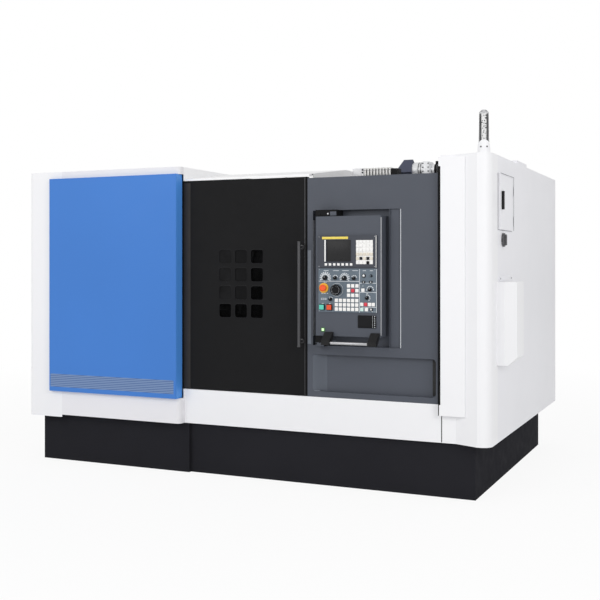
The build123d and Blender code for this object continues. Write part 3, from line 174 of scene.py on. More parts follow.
def striped_paint(name, levels, band, line, edge, span, rise, lit_return_x):
    """Satin paint with a field of slanting pinstripes, and a lighter tint on the right return that is painted
    light.
    """
    lean = 0.105
    pitch = 0.016
    line_share = 0.32
    material = coat(name, levels, 0.42, 0.035, 0.9, gloss=0.25)
    tree = material.node_tree
    shader = tree.nodes["Principled BSDF"]
    base = shader.inputs["Base Color"].links[0].from_socket
    split = node(tree, "ShaderNodeSeparateXYZ", Vector=place(tree))
    across = split.outputs["X"]
    up = split.outputs["Z"]
    drop = maths(tree, "SUBTRACT", up, maths(tree, "MULTIPLY", across, lean))
    turn = maths(tree, "FRACT", maths(tree, "MULTIPLY", drop, 1 / pitch))
    on_line = maths(tree, "LESS_THAN", turn, line_share)
    field = maths(tree, "MULTIPLY", within(tree, up, *rise), within(tree, across, *span))
    on_stripe = maths(tree, "MULTIPLY", field, on_line)
    # Past the return's edge the tint lightens: painted light on the side face
    on_lit_return = maths(tree, "GREATER_THAN", across, lit_return_x)
    for tint, share in ((band, field), (line, on_stripe), (edge, on_lit_return)):
        mix = tree.nodes.new("ShaderNodeMix")
        mix.data_type = "RGBA"
        feed(mix, "Factor", share)
        feed(mix, "A", base)
        feed(mix, "B", shade(*tint))
        base = mix.outputs["Result"]
    feed(shader, "Base Color", base)
    return material


# Paints: name, levels, roughness, spread of the tone and scale of its patches
white = coat("white_paint", (245, 245, 247), 0.4, 0.008, 1.4, gloss=0.3)
# A brighter copy of the white paint for the roof: painted light on its upper faces
roof_white_lit = coat("roof_paint_lit", (249, 249, 250), 0.45, 0.006, 1.2, gloss=0.3)
# A darker copy of the white paint for the side and rear covers: painted shade on faces turned from the front
side_white_shaded = coat("side_paint_shaded", (240, 240, 244), 0.42, 0.01, 1.1, gloss=0.3)
frame_white = coat("frame_paint", (238, 237, 240), 0.42, 0.01, 1.4, gloss=0.3)
black = coat("black_paint", (30, 30, 31), 0.5, 0.06, 3, gloss=0.05)
plinth_black = coat("plinth_paint", (41, 41, 45), 0.7, 0.06, 2, strength=0.2, gloss=0.01)
slate = coat("slate_paint", (82, 86, 95), 0.42, 0.04, 1.6, strength=0.16, gloss=0.2)
slate_dark = coat("slate_dark", (70, 73, 81), 0.42, 0.04, 2, strength=0.16, gloss=0.2)
# A lighter copy of the cover's slate for the toe recess's cove: painted light
slate_painted_light = coat("slate_painted_light", (92, 97, 106), 0.42, 0.04, 1.6, strength=0.16, gloss=0.2)
# A light grey for a painted reflection on the cover and a painted highlight on a ledge
highlight_grey = coat("highlight_grey", (118, 124, 133), 0.4, 0.05, 3, strength=0.16, gloss=0.3)
panel_grey = coat("panel_grey", (102, 114, 125), 0.45, 0.03, 9, gloss=0.3)
drive_slate = coat("drive_slate", (80, 84, 101), 0.5, 0.05, 4, gloss=0.15)
blue_low, blue_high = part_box("blue_front_cover")
stripe_span = (blue_low.x + 0.0135, blue_high.x - 0.02)
stripe_rise = (blue_low.z + 0.031, blue_low.z + 0.1235)
# The lighter tint on the cover's right return is painted light
lit_return_start = blue_high.x - 0.0005
blue = striped_paint(
    "blue_paint", (67, 126, 206), (120, 144, 182), (80, 108, 158), (84, 154, 238),
    stripe_span, stripe_rise, lit_return_start,
)
iron = coat("machine_green_grey", (150, 155, 156), 0.5, 0.07, 5, strength=0.3)
steel = brushed("machined_steel", (196, 197, 199), 0.28, (1, 9, 9))
turned = brushed("turned_steel", (186, 187, 190), 0.24, (14, 1, 1))
galvanised = brushed("sheet_steel", (186, 188, 190), 0.36, (7, 1, 1))
alloy = coat("cast_alloy", (226, 227, 229), 0.4, 0.05, 12, metal=0.25)
rubber = coat("belt_rubber", (34, 34, 35), 0.75, 0.08, 20, strength=0.4)
plastic = coat("black_plastic", (25, 25, 27), 0.5, 0.07, 25, strength=0.25, gloss=0.12)
mottled = coat("switch_plastic", (92, 92, 94), 0.5, 0.45, 70, strength=0.3, gloss=0.3)
grip_black = coat("grip_black", (34, 34, 35), 0.45, 0.07, 25, strength=0.25, gloss=0.15)
bar_grey = coat("handle_grey", (74, 74, 76), 0.34, 0.05, 18, metal=0.5)
wiper = coat("wiper_rubber", (47, 45, 45), 0.6, 0.08, 6, strength=0.2, gloss=0.2)
key_white = coat("key_white", (246, 245, 243), 0.4, 0.015, 70)
key_beige = coat("key_beige", (226, 218, 203), 0.42, 0.03, 70)
key_red = coat("key_red", (214, 52, 70), 0.38, 0.04, 70)
stop_red = coat("stop_red", (246, 88, 32), 0.3, 0.04, 40)
stop_yellow = coat("stop_yellow", (246, 190, 52), 0.42, 0.04, 40)
bar_yellow = coat("bar_yellow", (238, 214, 92), 0.45, 0.04, 40)
teal = coat("start_teal", (92, 206, 184), 0.32, 0.04, 50)
orange = coat("hold_orange", (232, 78, 30), 0.32, 0.04, 50)
line_white = coat("line_white", (220, 224, 228), 0.5, 0.03, 60)
edge_grey = coat("edge_grey", (176, 178, 182), 0.4, 0.05, 30)
bright = brushed("bright_bar", (172, 172, 174), 0.3, (1, 12, 12))
lamp_green = glow("lamp_green", (206, 240, 186), 0.5)
key_pale = coat("key_pale", (212, 236, 229), 0.4, 0.02, 70)
blank_dark = coat("blank_dark", (21, 21, 22), 0.55, 0.16, 14, strength=0.2, gloss=0.05)
blank_grey = coat("blank_grey", (27, 27, 28), 0.55, 0.3, 12, strength=0.2, gloss=0.05)
seam_grey = coat("seam_grey", (140, 141, 145), 0.6, 0.05, 20)
lamp_border = coat("lamp_border", (44, 112, 40), 0.4, 0.05, 60)
board_light = glow("board_light", (240, 240, 238), 0.35)
screen_glass = coat("screen_glass", (42, 42, 43), 0.3, 0.08, 6, strength=0.03, gloss=0.15)
smoked = clear("smoked_pane", (46, 46, 47), 0.06, 0.95, 1.06)
lens = clear("beacon_lens", (206, 206, 208), 0.1, 0.9, 1.12)
sleeve_grey = coat("sleeve_grey", (62, 62, 63), 0.5, 0.15, 40, strength=0.3)
seal = coat("seal_rubber", (22, 22, 23), 0.8, 0.1, 30, strength=0.35, gloss=0.1)

node_materials = {
    white: ("left_end_cover", "front_sill", "corner_column", "cable_tray", "heat_exchanger"),
    roof_white_lit: ("roof_cover",),
    frame_white: ("left_front_frame",),
    side_white_shaded: ("rear_cover", "side_cover", "cabinet_door", "cabinet_wall"),
    blue: ("blue_front_cover",),
    plinth_black: ("base_plinth",),
    black: ("sliding_door", "door_rail", "panel_pivots"),
    bar_grey: ("door_handle",),
    grip_black: ("panel_handle",),
    slate: ("grey_front_cover", "control_box"),
    slate_dark: ("display_unit",),
    panel_grey: ("operator_panel",),
    drive_slate: ("x_drive_housing",),
    iron: ("bed", "headstock", "saddle", "cross_slide", "tailstock", "turret_body"),
    turned: ("spindle", "chuck", "quill", "spindle_bearings", "motor_pulley", "turret_disc"),
    steel: ("jaw_1", "jaw_2", "jaw_3", "door_hangers"),
    galvanised: ("way_cover_1", "way_cover_2", "way_cover_3", "way_cover_4", "chip_trough", "chamber_wall"),
    alloy: ("x_axis_motor", "spindle_motor"),
    rubber: ("drive_belt",),
    plastic: ("cabinet_latch", "handwheel", "feed_knob", "speed_knob", "port_cover", "cable_carrier"),
    mottled: ("main_switch",),
    stop_red: ("estop_button",),
    teal: ("start_button",),
    orange: ("hold_button",),
    smoked: ("door_window",),
    lens: ("beacon_lens",),
}
for material, names in node_materials.items():
    for name in names:
        data = nodes[name].data
        data.materials.clear()
        data.materials.append(material)


def add_object(name, data):
    made = bpy.data.objects.new(name, data)
    scene.collection.objects.link(made)
    return made


# Mesh building
forward = (0.0, -1.0, 0.0)
backward = (0.0, 1.0, 0.0)
sideways = (1.0, 0.0, 0.0)
leftward = (-1.0, 0.0, 0.0)
x_axis = 0
y_axis = 1
z_axis = 2
edge_ease = 0.0008
print_ease = 0.0002
print_depth = 0.0006
rim_angle = math.radians(50)
smooth_angle = math.radians(38)
arc_step = 6


def around(angle, radius, centre):
    """A point at an angle in degrees on a circle of two coordinates."""
    turn = math.radians(angle)
    return centre[0] + radius * math.cos(turn), centre[1] + radius * math.sin(turn)


def rounded(centre, half, corner, steps=6):
    """The outline of a rectangle with round corners."""
    outline = []
    for side_x, side_z, start in ((1, 1, 0), (-1, 1, 90), (-1, -1, 180), (1, -1, 270)):
        middle = (centre[0] + side_x * (half[0] - corner), centre[1] + side_z * (half[1] - corner))
        outline += [around(start + 90 * step / steps, corner, middle) for step in range(steps + 1)]
    return outline


def square(centre, half, corner):
    """The outline of a square with round corners."""
    return rounded(centre, (half, half), corner)


def circle(centre, radius):
    """A round outline, with as many points as a square one."""
    return square(centre, radius, radius - 0.0001)


def grid(centre, columns, rows, pitch):
    """The places of a grid round its centre, each with its column and row."""
    for row in range(rows):
        for column in range(columns):
            x = centre[0] + (column - (columns - 1) / 2) * pitch[0]
            z = centre[1] + (row - (rows - 1) / 2) * pitch[1]
            yield (x, z), column, row


def ease_edges(form, edges, offset):
    bmesh.ops.bevel(form, geom=edges, offset=offset, segments=2, profile=0.5, affect="EDGES")


def join_loops(form, first, second):
    """Faces between two loops of equal count."""
    count = len(first)
    for number in range(count):
        after = (number + 1) % count
        form.faces.new((first[number], first[after], second[after], second[number]))


pieces = []


class Piece:
    """Collects small forms in metres and turns them into one named object on a body."""

    def __init__(self, name, slot, *materials, body="frame"):
        self.name = name
        self.body = body
        self.slot = slot
        self.materials = materials
        self.mesh = bmesh.new()
        pieces.append(self)

    def take(self, form, paint):
        for face in form.faces:
            face.material_index = paint
        scratch = bpy.data.meshes.new("scratch")
        form.to_mesh(scratch)
        form.free()
        self.mesh.from_mesh(scratch)
        bpy.data.meshes.remove(scratch)

    def box(self, low, high, edge=edge_ease, paint=0):
        """A box with eased edges between two corners."""
        ease_share = 0.4
        form = bmesh.new()
        bmesh.ops.create_cube(form, size=1.0)
        size = [top - bottom for bottom, top in zip(low, high)]
        middle = [(top + bottom) / 2 for bottom, top in zip(low, high)]
        bmesh.ops.scale(form, vec=size, verts=form.verts)
        bmesh.ops.translate(form, vec=middle, verts=form.verts)
        ease_edges(form, form.edges[:], min(edge, min(size) * ease_share))
        self.take(form, paint)

    def tile(self, centre, half, front, back, edge=edge_ease, paint=0):
        """A box that faces the operator, from its centre and half sizes in x and z."""
        x, z = centre
        self.box((x - half[0], front, z - half[1]), (x + half[0], back, z + half[1]), edge, paint)

    def disc(self, centre, axis, radius, depth, edge=edge_ease, paint=0, sides=40):
        """A round piece with eased rims, from a centre along an axis."""
        form = bmesh.new()
        bmesh.ops.create_cone(
            form, cap_ends=True, segments=sides, radius1=radius, radius2=radius, depth=depth
        )
        if edge:
            ease_edges(form, [e for e in form.edges if e.calc_face_angle(0) > rim_angle], edge)
        turn = Vector((0, 0, 1)).rotation_difference(Vector(axis)).to_matrix().to_4x4()
        shift = Matrix.Translation(Vector(centre) + Vector(axis).normalized() * depth / 2)
        bmesh.ops.transform(form, matrix=shift @ turn, verts=form.verts)
        self.take(form, paint)

    def skin(self, loops, paint=0):
        """Joins loops of points in order, and the last to the first, into one closed skin."""
        form = bmesh.new()
        rows = [[form.verts.new(point) for point in loop] for loop in loops]
        for first, second in zip(rows, rows[1:] + rows[:1]):
            join_loops(form, first, second)
        bmesh.ops.recalc_face_normals(form, faces=form.faces)
        self.take(form, paint)

    def prism(self, outline, low, high, axis, paint=0):
        """An outline of two coordinates pulled between two places on the third axis."""
        form = bmesh.new()
        loops = []
        for level in (low, high):
            points = [(*pair[:axis], level, *pair[axis:]) for pair in outline]
            loops.append([form.verts.new(point) for point in points])
        form.faces.new(loops[0])
        form.faces.new(loops[1])
        join_loops(form, *loops)
        bmesh.ops.recalc_face_normals(form, faces=form.faces)
        self.take(form, paint)

    def arc(self, centre, inner, outer, front, start, sweep, paint=0):
        """A flat printed arc that faces the operator."""
        steps = max(3, round(sweep / arc_step))
        angles = [start + sweep * number / steps for number in range(steps + 1)]
        outline = [around(angle, outer, centre) for angle in angles]
        outline += [around(angle, inner, centre) for angle in reversed(angles)]
        self.prism(outline, front - print_depth, front, y_axis, paint)

    def rim(self, outer, inner, front, back, ease, paint=0):
        """A closed rim between two outlines of equal count, facing the operator."""
        loops = []
        for outline, y in ((outer, back), (outer, front + ease), (inner, front), (inner, back)):
            loops.append([(x, y, z) for x, z in outline])
        self.skin(loops, paint)

    def screw(self, centre, axis, radius=0.006, paint=0):
        """A pan head with a hex socket, both sized by the head's radius."""
        self.disc(centre, axis, radius, radius * 0.55, radius * 0.2, paint, 24)
        front = Vector(centre) + Vector(axis).normalized() * radius * 0.56
        self.disc(front, axis, radius * 0.45, radius * 0.04, 0.0, paint, 6)

    def done(self):
        data = bpy.data.meshes.new(self.name)
        self.mesh.to_mesh(data)
        self.mesh.free()
        for material in self.materials:
            data.materials.append(material)
        data.shade_smooth()
        data.set_sharp_from_angle(angle=smooth_angle)
        made = add_object(self.name, data)
        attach(made, self.body)


# Places of the control box, from the solids
display_low, display_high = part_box("display_unit")
plate_low, plate_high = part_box("operator_panel")
box_low, box_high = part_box("control_box")
key_front = display_low.y
display_front = key_front + 0.003
plate_face = plate_high.y - 0.006
box_face = box_low.y + 0.005


def on_plate(across, up):
    """A place on the operator panel, from shares of its width and height."""
    x = plate_low.x + across * (plate_high.x - plate_low.x)
    z = plate_low.z + up * (plate_high.z - plate_low.z)
    return x, z


def on_panel(name, slot, *materials):
    """A piece that swings with the control box."""
    return Piece(name, slot, *materials, body="control_panel")


def print_bar(piece, left, right, bottom, top):
    """A bar printed on the operator panel."""
    piece.box((left, plate_face - print_depth, bottom), (right, plate_face, top), print_ease)


# Screen in its recess, with a bezel
screen_half = (0.0825, 0.0675)
screen_left = display_low.x + 0.057
screen_top = display_high.z - 0.027
screen_centre = (screen_left + screen_half[0], screen_top - screen_half[1])
screen_bottom = screen_top - 2 * screen_half[1]
bezel = 0.004
pane_gap = 0.001
screen = on_panel("screen_pane", "black_plastic", screen_glass, slate_dark)
pane_half = [half - pane_gap for half in screen_half]
screen.tile(screen_centre, pane_half, front=display_front + 0.0015, back=display_front + 0.004)
screen.rim(
    rounded(screen_centre, [half + bezel for half in screen_half], corner=0.003),
    rounded(screen_centre, screen_half, corner=0.001),
    front=display_front - 0.0016, back=display_front + 0.0005, ease=edge_ease, paint=1,
)

# White strip, yellow bar, and a pale line at the display's right edge that is a painted highlight
marks = on_panel("display_marks", "white_paint", line_white, bar_yellow, key_white)
for left, right, bottom, top, proud, paint in (
    (screen_left - 0.013, screen_left - 0.0042, screen_bottom - 0.001, screen_top + 0.001, 0.0018, 2),
    (display_low.x + 0.028, display_low.x + 0.203, screen_top + 0.005, display_high.z - 0.007, 0.002, 1),
    # The pale line at the display's right edge: a painted highlight
    (
        display_high.x - 0.0042, display_high.x - 0.0005,
        display_low.z + 0.001, display_high.z - 0.002, 0.0015, 2,
    ),
):
    marks.box((left, display_front - proud, bottom), (right, display_front, top), paint=paint)

# Soft keys below the screen
key_seat = 0.002
soft_row = (screen_centre[0], screen_bottom - 0.018)
soft_keys = on_panel("soft_key_caps", "white_paint", key_white)
for spot, _, _ in grid(soft_row, columns=7, rows=1, pitch=(0.0283, 0.0)):
    soft_keys.tile(spot, (0.0084, 0.0074), front=key_front - 0.001, back=key_front + key_seat)

# Keypad: white and beige caps on a white board, with dark blanks low down
keypad_centre = (display_low.x + 0.312, display_low.z + 0.096)
keypad_front = key_front - 0.0012
dark_keys = ((0, 3), (1, 1), (1, 3))
beige_rows = (1, 2)
keypad = on_panel("keypad_caps", "white_paint", key_white, key_beige, plastic)
keypad.tile(keypad_centre, (0.055, 0.0742), front=display_front - 0.0008, back=display_front)
for spot, column, row in grid(keypad_centre, columns=5, rows=6, pitch=(0.0229, 0.026)):
    paint = 2 if (row, column) in dark_keys else int(row in beige_rows)
    keypad.tile(spot, (0.0094, 0.0094), keypad_front, key_front + key_seat, edge=0.0014, paint=paint)

# Key caps of the operator panel
cap_front = plate_face - 0.0045
cap_back = plate_face - 0.0002
caps = on_panel("operator_key_caps", "white_paint", key_white, key_red, key_pale, plastic)


def cap(centre, paint=0, half=(0.0109, 0.0109)):
    caps.tile(centre, half, cap_front, cap_back, edge=0.0016, paint=paint)


for spot, column, row in grid(on_plate(0.597, 0.497), columns=3, rows=3, pitch=(0.0276, 0.0294)):
    cap(spot, int(row == 1 == column))
for spot, _, _ in grid(on_plate(0.49, 0.17), columns=6, rows=3, pitch=(0.0273, 0.0273)):
    cap(spot)
single_caps = (
    ((0.769, 0.509), 0), ((0.75, 0.188), 0), ((0.814, 0.188), 1), ((0.879, 0.188), 0),
    ((0.942, 0.188), 0), ((0.75, 0.072), 2), ((0.828, 0.072), 0),
)
for share, paint in single_caps:
    cap(on_plate(*share), paint)
rocker_places = [on_plate(*share) for share in ((0.78, 0.693), (0.901, 0.693))]
for spot in rocker_places:
    cap(spot, 3, half=(0.0109, 0.0074))

# Printed scales round the dials and selectors
feed_place = on_plate(0.122, 0.785)
speed_place = on_plate(0.454, 0.779)
wheel_place = on_plate(0.322, 0.509)
stop_place = on_plate(0.096, 0.55)
dial_angles = [-32 + 22.5 * number for number in range(11)]
dial_inner = 0.0175
tick_length = 0.0065
fan_gap = 0.002
selector_step = 36
selector_length = 0.0055
wheel_marks = 50
selectors = [
    (on_plate(*share), start, count, reach)
    for share, start, count, reach in (
        ((0.294, 0.782), 15, 4, 0.0195), ((0.616, 0.776), 15, 4, 0.0205), ((0.888, 0.52), -10, 6, 0.0245),
        ((0.838, 0.334), -60, 5, 0.0215), ((0.213, 0.292), 30, 3, 0.0175),
    )
]
dials = on_panel("dial_marks", "white_paint", line_white)
for spot, reach in ((feed_place, 0.038), (speed_place, 0.0335)):
    for start in dial_angles:
        dials.arc(spot, reach - tick_length, reach, plate_face, start, sweep=13)
        dials.arc(spot, dial_inner, reach - tick_length - fan_gap, plate_face, start, sweep=19)
for spot, start, count, reach in selectors:
    for number in range(count):
        begin = start + number * selector_step
        dials.arc(spot, reach - selector_length, reach, plate_face, begin, sweep=25)
for number in range(wheel_marks):
    dials.arc(wheel_place, 0.0385, 0.0425, plate_face, number * 360 / wheel_marks, sweep=3.4)

# Short printed bars where the panel carries captions
line_half = 0.0016
captions = on_panel("panel_captions", "white_paint", line_white)
for up, bars in (
    (0.95, ((0.135, 0.034), (0.307, 0.04), (0.47, 0.044), (0.792, 0.022), (0.91, 0.02))),
    (0.952, ((0.634, 0.036),)),
    (0.424, ((0.07, 0.014), (0.115, 0.012), (0.16, 0.01))),
    (0.312, ((0.06, 0.01), (0.095, 0.01), (0.13, 0.01))),
    (0.286, ((0.06, 0.01), (0.095, 0.01), (0.13, 0.01))),
    (0.193, ((0.074, 0.012), (0.2, 0.01))),
    (0.683, ((0.118, 0.022),)),
    (0.604, ((0.766, 0.006),)),
    (0.434, ((0.84, 0.012),)),
    (0.03, ((0.92, 0.014),)),
):
    for across, width in bars:
        x, z = on_plate(across, up)
        print_bar(captions, x - width / 2, x + width / 2, z - line_half, z + line_half)

# Pale lines that divide the panel
divide_x = plate_low.x + 0.2765
right_x = plate_high.x - line_half
lines = on_panel("panel_separators", "white_paint", line_white)
for x in (divide_x, right_x):
    print_bar(lines, x - line_half, x + line_half, plate_low.z + 0.001, plate_high.z - 0.003)
for left, right, up in (
    (plate_low.x + 0.002, divide_x, 0.706), (divide_x, right_x, 0.668), (divide_x, right_x, 0.461),
    (divide_x + 0.015, right_x, 0.125),
):
    z = on_plate(0, up)[1]
    print_bar(lines, left, right, z - line_half, z + line_half)

# Selector knobs with a raised grip and a white pointer
knob_ease = 0.0012
grip_front = plate_face - 0.0175
pointer_front = plate_face - 0.018
knobs = on_panel("selector_knobs", "black_plastic", plastic, line_white, steel)
for (x, z), *_ in selectors:
    knobs.disc((x, plate_face, z), forward, radius=0.0108, depth=0.0135, edge=knob_ease)
    knobs.tile((x, z), (0.0026, 0.0105), grip_front, grip_front + 0.0045, knob_ease)
    knobs.tile((x, z + 0.006), (0.0008, 0.004), pointer_front, pointer_front + 0.001, print_ease, 1)

# Lamp, toggle, key lock and rockers of the same piece
fitting_ease = 0.001
ring_proud = 0.004
x, z = on_plate(0.783, 0.834)
ring = [circle((x, z), radius) for radius in (0.0125, 0.0085)]
knobs.rim(*ring, plate_face - ring_proud, plate_face, fitting_ease)
knobs.disc((x, plate_face, z), forward, radius=0.0078, depth=0.0055, edge=fitting_ease, paint=2)
x, z = on_plate(0.907, 0.834)
knobs.disc((x, plate_face, z), forward, radius=0.0088, depth=ring_proud, edge=fitting_ease)
lock_proud = 0.0055
x, z = on_plate(0.909, 0.072)
knobs.disc((x, plate_face, z), forward, radius=0.0105, depth=lock_proud, edge=fitting_ease)
knobs.disc((x, plate_face - lock_proud, z), forward, radius=0.0062, depth=0.001, edge=0.0003, paint=2)
knobs.tile((x, z), (0.0009, 0.004), plate_face - 0.0072, plate_face - 0.0062, print_ease)
for spot in rocker_places:
    knobs.tile(spot, (0.004, 0.003), cap_front - 0.0008, cap_front + 0.001, 0.0004, 1)

# Yellow collar of the emergency stop and dark bezels of start and hold
collars = on_panel("button_collars", "black_plastic", stop_yellow, plastic)
ring = [circle(stop_place, radius) for radius in (0.0312, 0.0092)]
collars.rim(*ring, front=plate_face - 0.0052, back=plate_face, ease=0.0006)
for share in ((0.064, 0.108), (0.194, 0.108)):
    spot = on_plate(*share)
    outer = square(spot, half=0.0195, corner=0.004)
    inner = square(spot, half=0.0156, corner=0.0015)
    collars.rim(outer, inner, front=plate_face - 0.005, back=plate_face, ease=knob_ease, paint=1)

# Fluted rim and graduations of the handwheel, and pointers of the two override knobs
wheel_low, wheel_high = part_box("handwheel")
wheel_radius = (wheel_high.x - wheel_low.x) / 2
wheel_front = plate_face - 0.028
flute_count = 96
flute_rises = (0.0012, 0.0012, 0.0002, 0.0002)
graduation_count = 20
fluted = Piece("wheel_trim", "black_plastic", plastic, line_white, body="pulse_wheel")
flutes = []
grip_inner = []
for number in range(flute_count):
    angle = number * 360 / flute_count
    flutes.append(around(angle, wheel_radius + flute_rises[number % len(flute_rises)], wheel_place))
    grip_inner.append(around(angle, wheel_radius - 0.004, wheel_place))
fluted.rim(flutes, grip_inner, front=wheel_front - 0.0018, back=wheel_front + 0.0135, ease=knob_ease)
for number in range(graduation_count):
    begin = number * 360 / graduation_count
    fluted.arc(wheel_place, 0.0235, 0.027, wheel_front, begin, sweep=3.5, paint=1)
for name, spot in (("feed", feed_place), ("speed", speed_place)):
    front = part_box(name + "_knob")[0].y - 0.0007
    pointer = Piece(name + "_pointer", "white_paint", line_white, body=name + "_dial")
    mark = (spot[0], spot[1] + 0.00575)
    pointer.tile(mark, (0.0011, 0.00475), front, front + 0.001, print_ease)

# Green lamp low on the box
lamp_place = (box_low.x + 0.056, box_low.z + 0.039)
lamp = on_panel("ready_lamp", "green_plastic", lamp_green, lamp_border)
lamp.tile(lamp_place, (0.0082, 0.0082), front=box_face - 0.0066, back=box_face - 0.001, edge=0.0015)
outer = square(lamp_place, half=0.0125, corner=0.003)
inner = square(lamp_place, half=0.008, corner=0.0015)
lamp.rim(outer, inner, front=box_face - 0.0056, back=box_face, ease=fitting_ease, paint=1)

# Silver bar of the pull handle with its end collars
grip_low, grip_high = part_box("panel_handle")
grip_inset = 0.052
grip_middle = 0.013
end_length = 0.006
grip_start = grip_low.x + grip_inset
grip_end = grip_high.x - grip_inset
grip_y = grip_low.y + grip_middle
grip_z = grip_low.z + grip_middle
grip = on_panel("grip_bar", "steel", bright, grip_black)
grip.disc((grip_start, grip_y, grip_z), sideways, radius=0.0098, depth=grip_end - grip_start, edge=0.0006)
for x in (grip_start, grip_end - end_length):
    grip.disc((x, grip_y, grip_z), sideways, radius=0.0125, depth=end_length, edge=knob_ease, paint=1)

# Places of the grey cover's niche and toe recess, from the solids
grey_low, grey_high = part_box("grey_front_cover")
pivot_low, pivot_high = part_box("panel_pivots")
niche_left = grey_low.x + 0.038
niche_right = grey_high.x - 0.234
niche_bottom = grey_low.z + 0.33
niche_top = grey_high.z - 0.211
niche_depth = 0.045
recess_depth = 0.034
recess_left = grey_low.x + 0.034
recess_right = grey_high.x - 0.011
recess_bottom = grey_low.z + 0.037
recess_top = recess_bottom + 0.235
recess_back = grey_low.y + recess_depth

# Painted highlights: a pale line on the box's right edge and on the right edge of the strip beside the niche
highlight_end = 0.012
edges = on_panel("box_edge_highlight", "steel", edge_grey)
edges.box(
    (box_high.x - 0.0032, box_face - 0.0005, box_low.z + highlight_end),
    (box_high.x + 0.0008, box_face + 0.01, box_high.z - highlight_end),
)
niche_gap = 0.002
# The pale line at the niche's right edge: a painted highlight
niche_edge = Piece("niche_edge_highlight", "steel", line_white)
niche_edge.box(
    (niche_right - 0.0025, grey_low.y - 0.0015, niche_bottom + niche_gap),
    (niche_right + 0.0015, grey_low.y + 0.0115, niche_top - niche_gap),
)

# Toe recess: a cove at its left end in a lighter slate that is painted light, a bright lower ledge that is a
# painted highlight, and a dark strip in its right end that is a painted shadow
cove_width = 0.09
cove_steps = 14
cove_gap = 0.0005
cove_lip = 0.0008
back_gap = 0.0002
end_gap = 0.0006
shadow_strip_inset = 0.008
cove_start = recess_left + cove_gap
cove_run = cove_width - cove_gap
cove_back = recess_back - back_gap
recess_light_and_shade = Piece("recess_cove_and_painted_light", "grey_paint", slate_painted_light, highlight_grey, rubber)
cove = [(recess_left + cove_width, cove_back), (cove_start, cove_back)]
for step in range(cove_steps + 1):
    along = step / cove_steps
    fall = along * along * (3 - 2 * along)
    cove.append((cove_start + cove_run * along, grey_low.y + cove_lip + (recess_depth - 2 * cove_lip) * fall))
# The cove in a lighter slate: painted light on its curved face
recess_light_and_shade.prism(cove, recess_bottom + end_gap, recess_top - end_gap, z_axis)
# A bright ledge low at the left end: a painted highlight
recess_light_and_shade.box(
    (recess_left + 0.004, grey_low.y + back_gap, recess_bottom + end_gap),
    (recess_left + 0.052, grey_low.y + 0.012, recess_bottom + 0.0042), paint=1,
)
# A dark strip in the recess's right end: a painted shadow
recess_light_and_shade.box(
    (recess_right - 0.03, recess_back - 0.0016, recess_bottom + shadow_strip_inset),
    (recess_right - 0.001, cove_back, recess_top - shadow_strip_inset), paint=2,
)

# Painted light beside the control box: a lighter strip on the cover's face that is a painted reflection, and
# a pale lining on the niche's left wall that paints out its shade
bracket_room = 0.06
niche_light_strips = Piece("niche_painted_light", "grey_paint", highlight_grey, edge_grey)
# A pale lining on the niche's left wall: painted light in place of the shade there
niche_light_strips.box(
    (niche_left + 0.0002, grey_low.y + niche_gap, pivot_low.z + bracket_room),
    (niche_left + 0.001, grey_low.y + niche_depth - niche_gap, pivot_high.z - bracket_room),
    print_ease, paint=1,
)
# A lighter strip on the cover left of the niche: a painted reflection
niche_light_strips.box(
    (grey_low.x + 0.001, grey_low.y - 0.0012, niche_bottom + 0.008),
    (grey_low.x + 0.0255, grey_low.y + 0.0005, niche_bottom + 0.607), edge=0.0005,
)

# Panel screws, and the port cover's screws, seam and finger lip
screw_inset = 0.007
panel_screws = on_panel("panel_screws", "steel", edge_grey)
for low, high, face in ((display_low, display_high, display_front), (plate_low, plate_high, plate_face)):
    for x in (low.x + screw_inset, high.x - 0.012):
        for z in (low.z + screw_inset, high.z - screw_inset):
            panel_screws.screw((x, face, z), forward, radius=0.0028)
port_low, port_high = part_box("port_cover")
port_screws = 6
port_end = 0.006
port_seam = port_high.x - 0.021
port_pitch = (port_high.z - port_low.z - 2 * port_end) / (port_screws - 1)
port = Piece("port_fittings", "black_plastic", line_white, plastic, body="port_flap")
for number in range(port_screws):
    z = port_low.z + port_end + number * port_pitch
    port.screw((port_high.x - 0.0078, port_low.y, z), forward, radius=0.003)
port.box(
    (port_seam - 0.0012, port_low.y - 0.0008, port_low.z + 0.002),
    (port_seam, port_low.y, port_high.z - 0.002), print_ease,
)
port.box(
    (port_low.x + port_end, port_low.y - 0.004, port_low.z + 0.004),
    (port_seam - 0.008, port_low.y, port_low.z + 0.009), edge=0.0015, paint=1,
)

# Pivot brackets: pin heads and painted leaves
pin_radius = 0.0058
pin_level = 0.026
leaf_gap = 0.001
leaf_front = pivot_low.y - 0.0018
pivots = Piece("pivot_fittings", "steel", bright, plastic, slate)
for z in (pivot_high.z - pin_level, pivot_low.z + pin_level):
    pivots.screw((pivot_low.x + 0.086, pivot_low.y, z), forward, pin_radius)
    pivots.screw((pivot_low.x + 0.03, pivot_low.y, z), forward, pin_radius, 1)
    pivots.box(
        (pivot_low.x + 0.1, leaf_front, z - 0.012),
        (pivot_high.x - leaf_gap, pivot_low.y, z + 0.014), paint=2,
    )
pivots.box(
    (pivot_low.x + leaf_gap, leaf_front, pivot_low.z + leaf_gap),
    (pivot_low.x + 0.058, pivot_low.y, pivot_low.z + 0.024), paint=2,
)
pivots.screw((pivot_low.x + 0.006, leaf_front, pivot_low.z + 0.016), forward, 0.005, 1)

